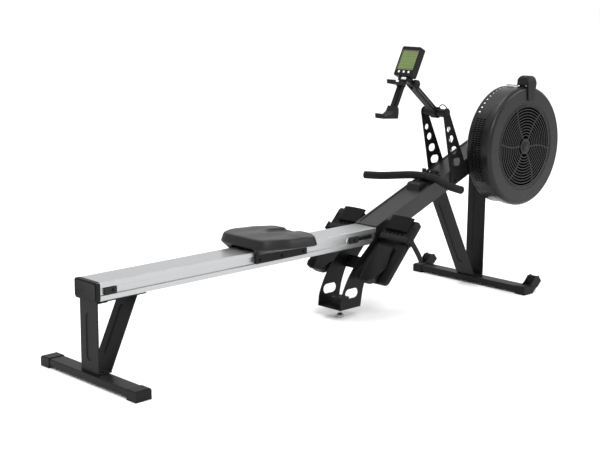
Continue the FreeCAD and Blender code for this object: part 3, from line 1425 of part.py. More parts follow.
def make_frame_fasteners():
    """Bolt and screw heads that hold the frame together."""
    members = []

    def bolt(x, y, z, radius, tall, axis, turn=0):
        name = "fastener_%d" % len(members)
        if axis == "z":
            head = new_body(name, (as_size(x), as_size(y), as_size(z)), turn)
            sketch = new_sketch(head, "XY_Plane")
            draw_circle(sketch, (0, 0), radius)
            pad(head, sketch, tall)
        else:
            head = cylinder(name, radius, as_size(y), tall, "y", (as_size(x), 0, as_size(z)))
        members.append(head)
    bolt_row = s.rear_leg_width / 2 - 14
    top = bar_top + s.plate_thickness
    for side in (-1, 1):
        bolt(8, bolt_row * side, top, 6.5, 5, "z")
        bolt(s.front_bar_place - 18, bolt_row * side, top, 6.5, 5, "z")
        screw_x = s.handle_place - 52
        bolt(screw_x, side * 18, s.handle_height - s.grip_radius - 3, 3.5, 1.5, "z")
    for x, z in ((s.beam_start + 30, s.beam_top - 34), (s.beam_start + 62, s.beam_top - 22)):
        bolt(x, -support_outside - 5, z, 7, 5, "y")
        bolt(x, support_outside, z, 7, 5, "y")
    for along in (70, 128):
        x = s.post_place + along
        z = under_beam(x) + 22
        outer = post_inside + s.post_plate
        bolt(x, -outer - 5, z, 7, 5, "y")
        bolt(x, outer, z, 7, 5, "y")
    group("frame_fasteners", members)


# ---------------------------------------------------------------- build, check and write

def make_everything():
    make_rail()
    make_rail_end_cap()
    make_rail_bumpers()
    make_rear_leg()
    make_front_leg()
    make_transport_wheels()
    make_beam()
    make_support_bracket()
    make_levelling_nut()
    make_levelling_foot()
    make_footrests()
    make_seat()
    make_seat_carriage()
    make_seat_rollers()
    make_handle()
    make_handle_rest()
    make_fairlead_roller()
    make_fan_housing()
    make_grille()
    make_fan_wheel()
    make_fan_drive()
    make_damper_lever()
    make_monitor_posts()
    make_cross_tube()
    make_monitor_arm()
    make_tilt_knob()
    make_monitor()
    make_phone_holder()
    make_monitor_cable()
    make_frame_fasteners()


def check_everything():
    doc.recompute()
    faults = []
    for thing in doc.Objects:
        if "Invalid" in thing.State or "Error" in thing.State:
            faults.append(thing.Name + " failed: " + str(thing.State))
    for piece in pieces:
        if piece.Shape.isNull() or not piece.Shape.isValid() or not piece.Shape.Solids:
            faults.append(piece.Label + " has no valid solid")
    if faults:
        raise RuntimeError("; ".join(faults))


def write_everything():
    os.makedirs("parts", exist_ok=True)
    for piece in pieces:
        piece.Shape.exportStep("parts/" + piece.Label + ".step")
        box = piece.Shape.BoundBox
        print("%-24s solids %2d  x %8.1f %8.1f  y %7.1f %7.1f  z %7.1f %7.1f" % (
            piece.Label, len(piece.Shape.Solids), box.XMin, box.XMax, box.YMin, box.YMax, box.ZMin, box.ZMax))
    print(len(pieces), "nodes")


make_everything()
check_everything()
write_everything()
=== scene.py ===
import bpy
import bmesh
import json
import math
from mathutils import Matrix, Vector


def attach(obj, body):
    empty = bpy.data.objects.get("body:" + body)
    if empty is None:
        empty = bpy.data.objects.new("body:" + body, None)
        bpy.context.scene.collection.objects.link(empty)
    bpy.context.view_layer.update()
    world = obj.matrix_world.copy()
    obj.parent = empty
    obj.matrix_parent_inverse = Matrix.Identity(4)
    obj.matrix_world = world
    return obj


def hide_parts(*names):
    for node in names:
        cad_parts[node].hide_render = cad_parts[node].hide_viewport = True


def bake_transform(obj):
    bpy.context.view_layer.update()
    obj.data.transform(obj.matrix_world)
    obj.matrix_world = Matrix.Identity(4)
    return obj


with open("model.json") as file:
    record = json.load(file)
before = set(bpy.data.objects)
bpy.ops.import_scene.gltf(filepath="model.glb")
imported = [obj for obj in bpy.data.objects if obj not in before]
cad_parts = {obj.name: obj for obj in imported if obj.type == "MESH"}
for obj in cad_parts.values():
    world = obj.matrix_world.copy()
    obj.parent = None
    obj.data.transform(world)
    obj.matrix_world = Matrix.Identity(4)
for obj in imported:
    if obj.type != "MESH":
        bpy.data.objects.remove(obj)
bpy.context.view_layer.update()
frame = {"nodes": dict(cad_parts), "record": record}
print("frame loaded,", len(frame["nodes"]), "nodes")

middle = 1.20075  # from the rear base bar's middle to the origin, along x


class Value:
    # a socket that takes + and *
    def __init__(self, shader, socket):
        self.shader = shader
        self.socket = socket

    def maths(self, operation, first, second):
        return self.shader.node("ShaderNodeMath", {"operation": operation}, {0: first, 1: second})

    def __add__(self, other):
        return self.maths("ADD", self, other)

    def __radd__(self, other):
        return self.maths("ADD", other, self)

    def __mul__(self, other):
        return self.maths("MULTIPLY", self, other)

    def __rmul__(self, other):
        return self.maths("MULTIPLY", other, self)


class Shader:
    # builds one material's nodes
    def __init__(self, name):
        self.material = bpy.data.materials.new(name)
        self.material.use_nodes = True
        self.tree = self.material.node_tree
        self.surface = self.tree.nodes["Principled BSDF"]

    def node(self, kind, settings=None, inputs=None, output=0):
        made = self.tree.nodes.new(kind)
        for name, value in (settings or {}).items():
            if name == "stops":
                ramp = made.color_ramp
                while len(ramp.elements) < len(value):
                    ramp.elements.new(0.5)
                for element, (position, colour) in zip(ramp.elements, value):
                    element.position = position
                    element.color = colour
            else:
                setattr(made, name, value)
        for name, value in (inputs or {}).items():
            self.join(value, made.inputs[name])
        return Value(self, made.outputs[output])

    def join(self, value, socket):
        if isinstance(value, Value):
            self.tree.links.new(value.socket, socket)
        else:
            socket.default_value = value

    def place(self, scale=(1, 1, 1), source="Object"):
        here = self.node("ShaderNodeTexCoord", output={"Object": 3, "UV": 2}[source])
        return self.node("ShaderNodeMapping", {}, {0: here, 3: scale})

    def noise(self, where, scale, detail=3.0, rough=0.55):
        return self.node("ShaderNodeTexNoise", {},
                         {"Vector": where, "Scale": scale, "Detail": detail, "Roughness": rough})

    def cells(self, where, scale):
        return self.node("ShaderNodeTexVoronoi", {}, {"Vector": where, "Scale": scale})

    def ramp(self, factor, low, high, start=0.0, end=1.0):
        return self.node("ShaderNodeMapRange", {"clamp": True},
                         {0: factor, 1: start, 2: end, 3: low, 4: high})

    def mix(self, factor, first, second):
        made = self.tree.nodes.new("ShaderNodeMix")
        made.data_type = "RGBA"
        for index, value in ((0, factor), (6, first), (7, second)):
            if isinstance(value, tuple):
                value = value + (1.0,) * (4 - len(value))
            self.join(value, made.inputs[index])
        return Value(self, made.outputs[2])

    def bump(self, height, strength, distance):
        return self.node("ShaderNodeBump", {},
                         {"Height": height, "Strength": strength, "Distance": distance})

    def finish(self, **values):
        for name, value in values.items():
            socket = self.surface.inputs[name.replace("_", " ")]
            if isinstance(value, tuple) and len(value) == 3 and "Color" in socket.name:
                value = value + (1.0,)
            self.join(value, socket)
        return self.material


def grey(level, warm=0.0):
    return (level + warm, level, level - warm * 0.5)


def anodisedRail(name="anodisedRail"):
    look = {"light": (0.46, 0.465, 0.47), "dark": (0.36, 0.365, 0.375), "lineScale": 900.0,
            "cloudScale": 3.0, "scuffStretch": (9.0, 60.0, 60.0), "metal": 0.85}
    s = Shader(name)
    streaks = s.noise(s.place(scale=(1.0, look["lineScale"], look["lineScale"])), 1.0, 2.0)
    clouds = s.noise(s.place(), look["cloudScale"], 2.0)
    colour = s.mix(streaks * 0.6 + clouds * 0.4, look["dark"], look["light"])
    rough = s.ramp(streaks + clouds * 0.3, 0.26, 0.4, 0.4, 0.9)
    scuffs = s.noise(s.place(scale=look["scuffStretch"]), 4.0, 4.0)
    rough = rough + s.ramp(scuffs, 0.0, 0.12, 0.62, 0.75)
    return s.finish(Base_Color=colour, Roughness=rough, Metallic=look["metal"],
                    Normal=s.bump(streaks, 0.08, 0.0002))


def powderCoat(name, level=0.005, rough=0.4, peel=420.0, gloss=0.13):
    look = {"cloudScale": 6.0, "dustScale": 38.0, "dust": grey(0.12, 0.008), "dustShare": 0.05}
    s = Shader(name)
    where = s.place()
    orange = s.noise(where, peel, 2.0)
    clouds = s.noise(where, look["cloudScale"], 3.0)
    dust = s.ramp(s.noise(where, look["dustScale"], 5.0), 0.0, 1.0, 0.6, 0.82)
    colour = s.mix(s.ramp(clouds, 0.0, 1.0, 0.35, 0.7), grey(level), grey(level * 1.5))
    colour = s.mix(dust * look["dustShare"], colour, look["dust"])
    roughness = s.ramp(clouds, rough - 0.05, rough + 0.07) + dust * 0.06
    return s.finish(Base_Color=colour, Roughness=roughness, Specular_IOR_Level=gloss,
                    Normal=s.bump(orange, 0.25, 0.0004))


def mouldedPlastic(name, level=0.005, rough=0.46, grain=900.0, depth=0.35, colour=None,
                   gloss=0.13):
    look = {"cloudScale": 9.0, "wearScale": 26.0, "wear": grey(0.1), "wearShare": 0.05}
    s = Shader(name)
    where = s.place()
    pebbles = s.cells(where, grain)
    clouds = s.noise(where, look["cloudScale"], 3.0)
    wear = s.ramp(s.noise(where, look["wearScale"], 5.0), 0.0, 1.0, 0.6, 0.85)
    base = colour or grey(level)
    shade = s.mix(s.ramp(clouds, 0.0, 1.0, 0.3, 0.75), base, tuple(c * 1.35 for c in base))
    shade = s.mix(wear * look["wearShare"], shade, look["wear"])
    roughness = s.ramp(clouds, rough - 0.05, rough + 0.06) + wear * 0.05
    return s.finish(Base_Color=shade, Roughness=roughness, Specular_IOR_Level=gloss,
                    Normal=s.bump(pebbles, depth, 0.0003))


def rubberSkin(name, level=0.005, rough=0.7, grain=500.0, gloss=0.1):
    s = Shader(name)
    where = s.place()
    pores = s.noise(where, grain, 4.0, 0.7)
    bloom = s.noise(where, 14.0, 3.0)
    chalky = grey(level * 2.4, 0.002)
    colour = s.mix(s.ramp(bloom, 0.0, 0.6, 0.45, 0.8), grey(level), chalky)
    roughness = s.ramp(bloom, rough - 0.08, rough + 0.1)
    return s.finish(Base_Color=colour, Roughness=roughness, Specular_IOR_Level=gloss,
                    Normal=s.bump(pores, 0.35, 0.0005))


def wovenStrap(name, level=0.008, across=14.0, along=8.4):
    s = Shader(name)
    bands = {"wave_type": "BANDS", "bands_direction": "X"}
    warp = s.node("ShaderNodeTexWave", bands,
                  {"Vector": s.place(source="UV"), "Scale": across, "Distortion": 0.4})
    weft = s.node("ShaderNodeTexWave", {**bands, "bands_direction": "Y"},
                  {"Vector": s.place(source="UV"), "Scale": along, "Distortion": 0.4})
    weave = warp * weft
    fuzz = s.noise(s.place(), 600.0, 3.0)
    colour = s.mix(weave * 0.6 + fuzz * 0.4, grey(level * 0.6), grey(level * 2.0))
    return s.finish(Base_Color=colour, Roughness=s.ramp(fuzz, 0.68, 0.9),
                    Specular_IOR_Level=0.2, Normal=s.bump(weave, 0.5, 0.0004))


def zincSteel(name="zincSteel", level=0.55, rough=0.3):
    s = Shader(name)
    where = s.place()
    clouds = s.noise(where, 60.0, 3.0)
    lines = s.noise(s.place(scale=(300.0, 300.0, 4000.0)), 1.0, 2.0)
    colour = s.mix(clouds, grey(level * 0.8), grey(level, 0.004))
    roughness = s.ramp(clouds + lines * 0.4, rough - 0.06, rough + 0.12)
    return s.finish(Base_Color=colour, Metallic=1.0, Roughness=roughness,
                    Normal=s.bump(lines, 0.08, 0.0002))


coat = powderCoat("powderCoat")
beamCoat = powderCoat("beamCoat", 0.008, 0.34, 520.0, 0.3)
plastic = mouldedPlastic("mouldedPlastic")
shellPlastic = mouldedPlastic("shellPlastic", 0.007, 0.28, 1400.0, 0.1, gloss=0.24)
rubber = rubberSkin("rubberSkin")
finishes = {
    "rail_metal": anodisedRail(), "steel_black": coat, "beam_black": beamCoat,
    "plastic_black": plastic, "plastic_satin": shellPlastic, "rubber_black": rubber,
    "grip_foam": rubberSkin("gripFoam", 0.009, 0.66, 900.0),
    "webbing": wovenStrap("webbing"),
    "seat_skin": mouldedPlastic("seatSkin", 0.009, 0.42, 700.0, 0.3),
    "zinc": zincSteel(),
    "lcd": mouldedPlastic("screenGlass", 0.3, 0.2, 300.0, 0.02, (0.12, 0.165, 0.06)),
    "key_white": mouldedPlastic("keyRubber", 0.4, 0.5, 900.0, 0.1, (0.55, 0.55, 0.55)),
}


def paint(node, material):
    item = frame["nodes"][node]
    for place in item.material_slots:
        place.material = material


for entry in frame["record"]["subparts"]:
    paint(entry["node"], finishes[entry["material_slot"]])
paint("rail_bumpers", rubberSkin("bumperRubber", 0.016, 0.6, 700.0))
paint("handle_rest", mouldedPlastic("restPlastic", 0.009, 0.4, 1000.0, 0.25))
print("finishes on the frame")


def moved(x, y, z, turn=0.0):
    # a place measured from the rear base bar, leaned about the y axis
    turned = Matrix.Rotation(math.radians(turn), 4, "Y")
    return Matrix.Translation((x - middle, y, z)) @ turned


arm = {"pivot": (1.778, 0.790), "length": 0.211, "lean": 51.9}  # degrees back from upright
armLean = math.radians(arm["lean"])
armTop = (arm["pivot"][0] - arm["length"] * math.sin(armLean), 0.0,
          arm["pivot"][1] + arm["length"] * math.cos(armLean))
fanPlace = moved(2.172, 0.0, 0.628)
boardPlace = moved(1.232, 0.0, 0.168, -47.2)
monitorPlace = moved(*armTop, 26.6)


def newThing(name, shape, material, smooth=False):
    mesh = bpy.data.meshes.new(name)
    shape.to_mesh(mesh)
    shape.free()
    for face in mesh.polygons:
        face.use_smooth = smooth
    mesh.materials.append(material)
    thing = bpy.data.objects.new(name, mesh)
    bpy.context.scene.collection.objects.link(thing)
    return thing


def makePiece(name, shape, material, body, replaces=(), place=None,
              smooth=True, solid=0.0, smoothLevels=0):
    if place is not None:
        bmesh.ops.transform(shape, matrix=place, verts=shape.verts)
    thing = newThing(name, shape, material, smooth)
    if solid:
        wall = thing.modifiers.new("wall", "SOLIDIFY")
        wall.thickness = solid
        wall.offset = -1.0
    if smoothLevels:
        rounding = thing.modifiers.new("rounding", "SUBSURF")
        rounding.levels = smoothLevels
        rounding.render_levels = smoothLevels
    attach(thing, body)
    if replaces:
        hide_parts(*replaces)


def mirrored(shape):
    bmesh.ops.scale(shape, vec=(1, -1, 1), verts=shape.verts)
    bmesh.ops.reverse_faces(shape, faces=shape.faces)
    return shape


def ease(value, start, end):
    share = min(1.0, max(0.0, (value - start) / (end - start)))
    return share * share * (3 - 2 * share)


def block(shape, low, high):
    made = bmesh.ops.create_cube(shape, size=1.0)["verts"]
    size = Vector(high) - Vector(low)
    bmesh.ops.scale(shape, vec=size, verts=made)
    bmesh.ops.translate(shape, vec=(Vector(high) + Vector(low)) / 2, verts=made)
    return made


def bevelEdges(shape, edges, width, segments):
    bmesh.ops.bevel(shape, geom=edges, offset=width, segments=segments, profile=0.5,
                    affect="EDGES", material=-1)


def roundBlock(shape, low, high, radius, segments=3):
    made = block(shape, low, high)
    bevelEdges(shape, list({edge for vert in made for edge in vert.link_edges}), radius, segments)


def freshOf(grown, kind):
    return [item for item in grown if isinstance(item, kind)]


def prism(shape, outline, start, depth, radius=0.0):
    # an outline in x and z, drawn out along y
    verts = [shape.verts.new((x, start, z)) for x, z in outline]
    face = shape.faces.new(verts)
    grown = bmesh.ops.extrude_face_region(shape, geom=[face])["geom"]
    fresh = freshOf(grown, bmesh.types.BMVert)
    bmesh.ops.translate(shape, vec=(0, depth, 0), verts=fresh)
    everything = verts + fresh
    faces = list({item for vert in everything for item in vert.link_faces})
    bmesh.ops.recalc_face_normals(shape, faces=faces)
    if radius:
        edges = list({edge for vert in everything for edge in vert.link_edges})
        bevelEdges(shape, edges, radius, 2)


def lathe(shape, profile, steps, axis=(0, 1, 0)):
    verts = [shape.verts.new(point) for point in profile]
    edges = [shape.edges.new(pair) for pair in zip(verts, verts[1:])]
    bmesh.ops.spin(shape, geom=verts + edges, cent=(0, 0, 0), axis=axis, angle=math.tau,
                   steps=steps, use_merge=True)
    bmesh.ops.remove_doubles(shape, verts=shape.verts, dist=1e-6)
    bmesh.ops.recalc_face_normals(shape, faces=shape.faces)


def ribbon(shape, points, across, width):
    # a flat band of webbing that follows points; its uv is u across, v along in strap widths
    half = Vector(across).normalized() * width / 2
    layer = shape.loops.layers.uv.verify()
    first = Vector(points[0])
    edge = shape.edges.new([shape.verts.new(first - half), shape.verts.new(first + half)])
    travelled = 0.0
    for before, point in zip(points, points[1:]):
        stride = Vector(point) - Vector(before)
        grown = bmesh.ops.extrude_edge_only(shape, edges=[edge])["geom"]
        fresh = freshOf(grown, bmesh.types.BMVert)
        bmesh.ops.translate(shape, vec=stride, verts=fresh)
        edge = freshOf(grown, bmesh.types.BMEdge)[0]
        face = freshOf(grown, bmesh.types.BMFace)[0]
        for loop in face.loops:
            side = 1.0 if (loop.vert.co - Vector(before)).dot(half) > 0 else 0.0
            along = travelled + (stride.length if loop.vert in fresh else 0.0)
            loop[layer].uv = (side, along / width)
        travelled += stride.length
    bmesh.ops.recalc_face_normals(shape, faces=shape.faces)


def smoothPath(points, steps=6):
    # a soft line through the points, for straps
    path = []
    spots = [Vector(point) for point in points]
    padded = [spots[0] * 2 - spots[1]] + spots + [spots[-1] * 2 - spots[-2]]
    for a, b, c, d in zip(padded, padded[1:], padded[2:], padded[3:]):
        for step in range(steps):
            t = step / steps
            path.append(0.5 * ((2 * b) + (c - a) * t + (2 * a - 5 * b + 4 * c - d) * t * t
                               + (3 * b - a - 3 * c + d) * t ** 3))
    return path + [spots[-1]]


def makeSeat():
    seat = {"back": 0.668, "front": 0.936, "halfWidth": 0.148, "rim": 0.4085, "corner": 6.5,
            "backNarrow": 0.17, "frontNarrow": 0.03, "bowl": 0.0035, "bowlAt": (-0.15, 0.46),
            "bowlSpread": (0.60, 0.30), "channel": 0.0095, "channelHalf": 0.036,
            "channelEnd": 0.790, "sideDrop": 0.006, "frontDrop": 0.007, "edgeDrop": 0.0025,
            "flare": 0.012, "flanks": ((0.18, 0.0025), (0.30, 0.009), (0.34, 0.012), (0.18, 0.009)),
            "tuck": (-0.0035, 0.0022), "skirt": 0.0755, "underside": 0.3695, "skirtDrop": 0.026,
            "skirtLong": 0.134, "wall": 0.003}
    shape = bmesh.new()
    bmesh.ops.create_grid(shape, x_segments=36, y_segments=36, size=1.0)
    centre = (seat["back"] + seat["front"]) / 2
    halfLength = (seat["front"] - seat["back"]) / 2
    power = seat["corner"]
    tip = seat["channelEnd"]
    for vert in shape.verts:
        u, v = vert.co.x, vert.co.y
        edge = max(abs(u), abs(v))
        norm = (abs(u) ** power + abs(v) ** power) ** (1 / power) or 1.0
        u, v = u * edge / norm, v * edge / norm
        x = centre + u * halfLength
        narrow = seat["backNarrow"] * ease(-u, 0.15, 1.0) + seat["frontNarrow"] * ease(u, 0.4, 1.0)
        y = v * seat["halfWidth"] * (1.0 - narrow)
        lobe = math.exp(-((abs(v) - seat["bowlAt"][1]) / seat["bowlSpread"][1]) ** 2
                        - ((u - seat["bowlAt"][0]) / seat["bowlSpread"][0]) ** 2)
        half = seat["channelHalf"] * ease(x, tip - 0.035, tip + 0.07)
        inside = 1.0 - ease(abs(y), half - 0.004, half + 0.005)
        height = seat["rim"] - seat["bowl"] * lobe
        height -= seat["channel"] * inside * ease(x, tip - 0.02, tip + 0.05)
        height -= seat["sideDrop"] * ease(abs(v), 0.6, 1.0) * ease(u, -0.6, 0.3)
        height -= seat["frontDrop"] * ease(u, 0.2, 1.0) + seat["edgeDrop"] * ease(edge, 0.95, 1.0)
        vert.co = Vector((x, y, height))
    rim = [edge for edge in shape.edges if edge.is_boundary]
    for share, down in seat["flanks"]:
        rim = grow(shape, rim, centre, seat["flare"] * share, down)
    rim = grow(shape, rim, centre, *seat["tuck"])
    last = grow(shape, rim, centre, 0.0, 0.0)
    for vert in {vert for edge in last for vert in edge.verts}:
        # the last ring is drawn in to the carriage and hangs down beside the rail
        vert.co.x = min(max(vert.co.x, seat["back"] + 0.016), seat["front"] - 0.006)
        side = ease(abs(vert.co.y), 0.055, 0.085)
        side *= ease(seat["skirtLong"] - abs(vert.co.x - centre), 0.0, 0.012)
        vert.co.y = math.copysign(min(abs(vert.co.y), seat["skirt"]), vert.co.y)
        vert.co.z = seat["underside"] - seat["skirtDrop"] * side
    bmesh.ops.translate(shape, vec=(-middle, 0, 0), verts=shape.verts)
    bmesh.ops.recalc_face_normals(shape, faces=shape.faces)
    makePiece("seatShell", shape, seatFinish, "seat", ("seat_pad",),
              solid=seat["wall"], smoothLevels=1)


def grow(shape, edges, centre, outward, down):
    # one more ring below the seat's edge
    grown = bmesh.ops.extrude_edge_only(shape, edges=edges)["geom"]
    for vert in freshOf(grown, bmesh.types.BMVert):
        away = Vector((vert.co.x - centre, vert.co.y, 0)).normalized()
        vert.co += away * outward
        vert.co.z -= down
    return [edge for edge in freshOf(grown, bmesh.types.BMEdge) if edge.is_boundary]


def makeRailTrim():
    # socket screws in the bumpers; in the groove's front end, a black block standing for the shade
    # in the groove (painted shade) and a bright metal patch standing for a highlight (painted
    # highlight)
    trim = {"screws": (0.044, 1.221), "screwHeight": 0.324, "screwRadius": 0.0062,
            "screwTall": 0.0016, "face": 0.0594, "stop": (1.250, 1.326),
            "stopDepth": (0.0526, 0.0584), "stopHeight": (0.3175, 0.3315), "strip": (1.183, 1.193),
            "stripDepth": (0.0522, 0.05262), "stripHeight": (0.3140, 0.3340)}
    screws = bmesh.new()
    for side in (-1, 1):
        for x in trim["screws"]:
            spot = aim(x, side * trim["face"], trim["screwHeight"], (0, side, 0))
            screwHead(screws, spot, trim["screwRadius"], trim["screwTall"])
    makePiece("bumperScrews", screws, boltFinish, "frame", (), smooth=False)
    for name, key, radius, segments, finish, slotName in (
            # black blocks in the groove past the front bumper: painted shade
            ("grooveShadeBlocks", "stop", 0.0015, 3, plastic, "plastic_black"),
            # bright metal patches in the groove before the front bumper: a painted highlight
            ("grooveHighlightPatches", "strip", 0.0001, 1, paintedHighlightMetal, "rail_metal")):
        shape = bmesh.new()
        bottom, top = trim[key + "Height"]
        for side in (-1, 1):
            near, far = sorted(side * depth for depth in trim[key + "Depth"])
            roundBlock(shape, (trim[key][0] - middle, near, bottom),
                       (trim[key][1] - middle, far, top), radius, segments)
        makePiece(name, shape, finish, "frame", ())


def makeEndCapPanel():
    panel = {"x": (-0.0281, -0.0265), "half": 0.0590, "z": (0.2945, 0.3550), "corner": 0.009,
             "border": 0.0045, "sunk": 0.0012}
    shape = bmesh.new()
    block(shape, (panel["x"][0] - middle, -panel["half"], panel["z"][0]),
          (panel["x"][1] - middle, panel["half"], panel["z"][1]))
    bevelEdges(shape, edgesAlong(shape, 0), panel["corner"], 6)
    outer = [face for face in shape.faces if face.normal.x < -0.9]
    bmesh.ops.inset_region(shape, faces=outer, thickness=panel["border"], depth=-panel["sunk"])
    makePiece("endCapPanel", shape, plastic, "frame", ())


def edgesAlong(shape, axis):
    return [edge for edge in shape.edges
            if abs(edge.verts[0].co[axis] - edge.verts[1].co[axis]) > 0.001]


def makeHeelCup(name, body, node, flip):
    cup = {"start": -0.020, "end": 0.185, "reach": 0.895, "inner": 0.076, "outer": 0.1815,
           "floor": 0.0024, "waist": 0.94, "swell": 0.10, "heelRound": 2.8, "heelWall": 0.036,
           "sideWall": 0.011, "wallRings": (0.35, 0.4, 0.25), "lean": 0.0009, "flare": 0.012,
           "thick": 0.0026}
    shape = bmesh.new()
    bmesh.ops.create_grid(shape, x_segments=26, y_segments=14, size=1.0)
    centre = -(cup["inner"] + cup["outer"]) / 2
    half = (cup["outer"] - cup["inner"]) / 2 - 0.003
    length = cup["end"] - cup["start"]
    bend = cup["heelRound"]
    for vert in shape.verts:
        u, v = (vert.co.x + 1) / 2, vert.co.y
        wide = cup["waist"] + cup["swell"] * math.sin((u - 0.12) * 5.2) * ease(u, 0.1, 0.4)
        shrink = (1 - (1 - min(1.0, u / 0.17)) ** bend) ** (1 / bend)
        x = cup["start"] + 0.004 + length * u * cup["reach"]
        y = centre + v * half * min(1.0, wide) * max(0.52, shrink)
        dip = max(-0.0004 + 0.004 * abs(v) ** 3, 0.0)
        vert.co = Vector((x, y, cup["floor"] + dip + 0.002 * ease(u, 0.6, 1.0)))
    rim = [edge for edge in shape.edges if edge.is_boundary]
    for share in cup["wallRings"]:
        grown = bmesh.ops.extrude_edge_only(shape, edges=rim)["geom"]
        for vert in freshOf(grown, bmesh.types.BMVert):
            u = (vert.co.x - cup["start"]) / length
            heel = 1 - ease(u, 0.10, 0.42)
            tall = cup["sideWall"] + (cup["heelWall"] - cup["sideWall"]) * heel
            tall *= 1 - 0.75 * ease(u, 0.82, 0.97)
            middleX = cup["start"] + length * 0.4
            away = Vector((vert.co.x - middleX, vert.co.y - centre, 0)).normalized()
            vert.co.z += tall * share
            vert.co += away * cup["lean"]
            if vert.co.y < centre:
                outward = min(1.0, (centre - vert.co.y) / half)
                vert.co.y -= cup["flare"] * share * outward * (1 - ease(u, 0.40, 0.72))
        rim = [edge for edge in freshOf(grown, bmesh.types.BMEdge) if edge.is_boundary]
    bmesh.ops.recalc_face_normals(shape, faces=shape.faces)
    if flip:
        mirrored(shape)
    makePiece(name, shape, cupFinish, body, (node,), place=boardPlace,
              solid=cup["thick"], smoothLevels=1)


def makeSoleRibs(name, body, flip):
    # raised cross ribs in the heel cup, the first one shorter
    ribs = {"first": 0.010, "step": 0.011, "count": 13, "long": 0.004, "centre": -0.129,
            "half": 0.030, "firstHalf": 0.022, "z": (0.0018, 0.0048), "edge": 0.0007}
    shape = bmesh.new()
    for number in range(ribs["count"]):
        x = ribs["first"] + ribs["step"] * number
        half = ribs["half"] if number else ribs["firstHalf"]
        roundBlock(shape, (x, ribs["centre"] - half, ribs["z"][0]),
                   (x + ribs["long"], ribs["centre"] + half, ribs["z"][1]), ribs["edge"], 1)
    if flip:
        mirrored(shape)
    makePiece(name, shape, rubber, body, (), place=boardPlace)


def makeBoard(name, node, flip):
    # a flat board with a raised rim along its outer side
    board = {"length": 0.300, "inner": 0.074, "outer": 0.222, "rib": 0.182, "ribTop": 0.006,
             "ribUnder": -0.006, "under": -0.014, "corner": 0.017, "ribCorner": 0.012,
             "edge": 0.0016}
    slab = ((0.0, -board["outer"], board["under"]), (board["length"], -board["inner"], 0.0))
    rim = ((0.001, -board["outer"] + 0.0002, board["ribUnder"]),
           (board["length"] - 0.001, -board["rib"], board["ribTop"]))
    shape = bmesh.new()
    for (low, high), corner in ((slab, board["corner"]), (rim, board["ribCorner"])):
        part = bmesh.new()
        block(part, low, high)
        bevelEdges(part, edgesAlong(part, 2), corner, 6)
        level = [edge for edge in part.edges
                 if abs(edge.verts[0].co.z - edge.verts[1].co.z) < 1e-6]
        bevelEdges(part, level, board["edge"], 2)
        if flip:
            mirrored(part)
        merge(shape, part)
    makePiece(name, shape, plastic, "frame", (node,), place=boardPlace)


def makeBoardTrim(name, flip):
    # long ridges on the outer border, and a row of bumps below the toe band
    trim = {"ridges": 6, "from": 0.014, "to": 0.272, "longer": 0.0006, "near": 0.2195,
            "step": 0.0062, "ridgeZ": (0.0052, 0.0078), "bumps": 5, "bumpX": (0.2185, 0.2345),
            "bumpNear": 0.088, "bumpStep": 0.021, "bumpWide": 0.012, "bumpZ": (0.0001, 0.0052)}
    shape = bmesh.new()
    for number in range(trim["ridges"]):
        y = -(trim["near"] - trim["step"] * number)
        roundBlock(shape, (trim["from"], y - 0.0003, trim["ridgeZ"][0]),
                   (trim["to"] + trim["longer"] * number, y + 0.0027, trim["ridgeZ"][1]), 0.0009, 1)
    for number in range(trim["bumps"]):
        y = -trim["bumpNear"] - trim["bumpStep"] * number
        roundBlock(shape, (trim["bumpX"][0], y - trim["bumpWide"], trim["bumpZ"][0]),
                   (trim["bumpX"][1], y, trim["bumpZ"][1]), 0.0018, 2)
    if flip:
        mirrored(shape)
    makePiece(name, shape, plastic, "frame", (), place=boardPlace)


def makeToeBand(flip, shape):
    band = {"start": 0.240, "end": 0.308, "near": -0.1895, "far": -0.0765, "top": 0.0195,
            "ribs": 15, "ribDeep": 0.0012, "edgeDrop": 0.0065, "arch": 0.006, "lip": 0.002,
            "foot": 0.0062}
    part = bmesh.new()
    bmesh.ops.create_grid(part, x_segments=band["ribs"] * 4, y_segments=18, size=1.0)
    for vert in part.verts:
        u, v = vert.co.x, vert.co.y
        along = (u + 1) / 2
        x = band["start"] + (band["end"] - band["start"]) * along
        y = band["near"] + (band["far"] - band["near"]) * (v + 1) / 2
        wave = 0.5 + 0.5 * math.cos(along * band["ribs"] * math.tau)
        height = band["top"] - band["edgeDrop"] + (1 - abs(v) ** 3.2) * band["arch"]
        height -= band["ribDeep"] * wave * (1 - ease(abs(v), 0.82, 0.95))
        height -= band["lip"] * ease(abs(u), 0.9, 1.0)
        vert.co = Vector((x, y, height))
    rim = [edge for edge in part.edges if edge.is_boundary]
    grown = bmesh.ops.extrude_edge_only(part, edges=rim)["geom"]
    for vert in freshOf(grown, bmesh.types.BMVert):
        vert.co.z = band["foot"]
    bmesh.ops.recalc_face_normals(part, faces=part.faces)
    if flip:
        mirrored(part)
    merge(shape, part)


def merge(shape, part):
    # adds one bmesh to another
    mesh = bpy.data.meshes.new("scrap")
    part.to_mesh(mesh)
    part.free()
    shape.from_mesh(mesh)
    bpy.data.meshes.remove(mesh)


def makeToeBands():
    shape = bmesh.new()
    makeToeBand(False, shape)
    makeToeBand(True, shape)
    makePiece("toeBands", shape, rubber, "frame", ("toe_bands",), place=boardPlace)


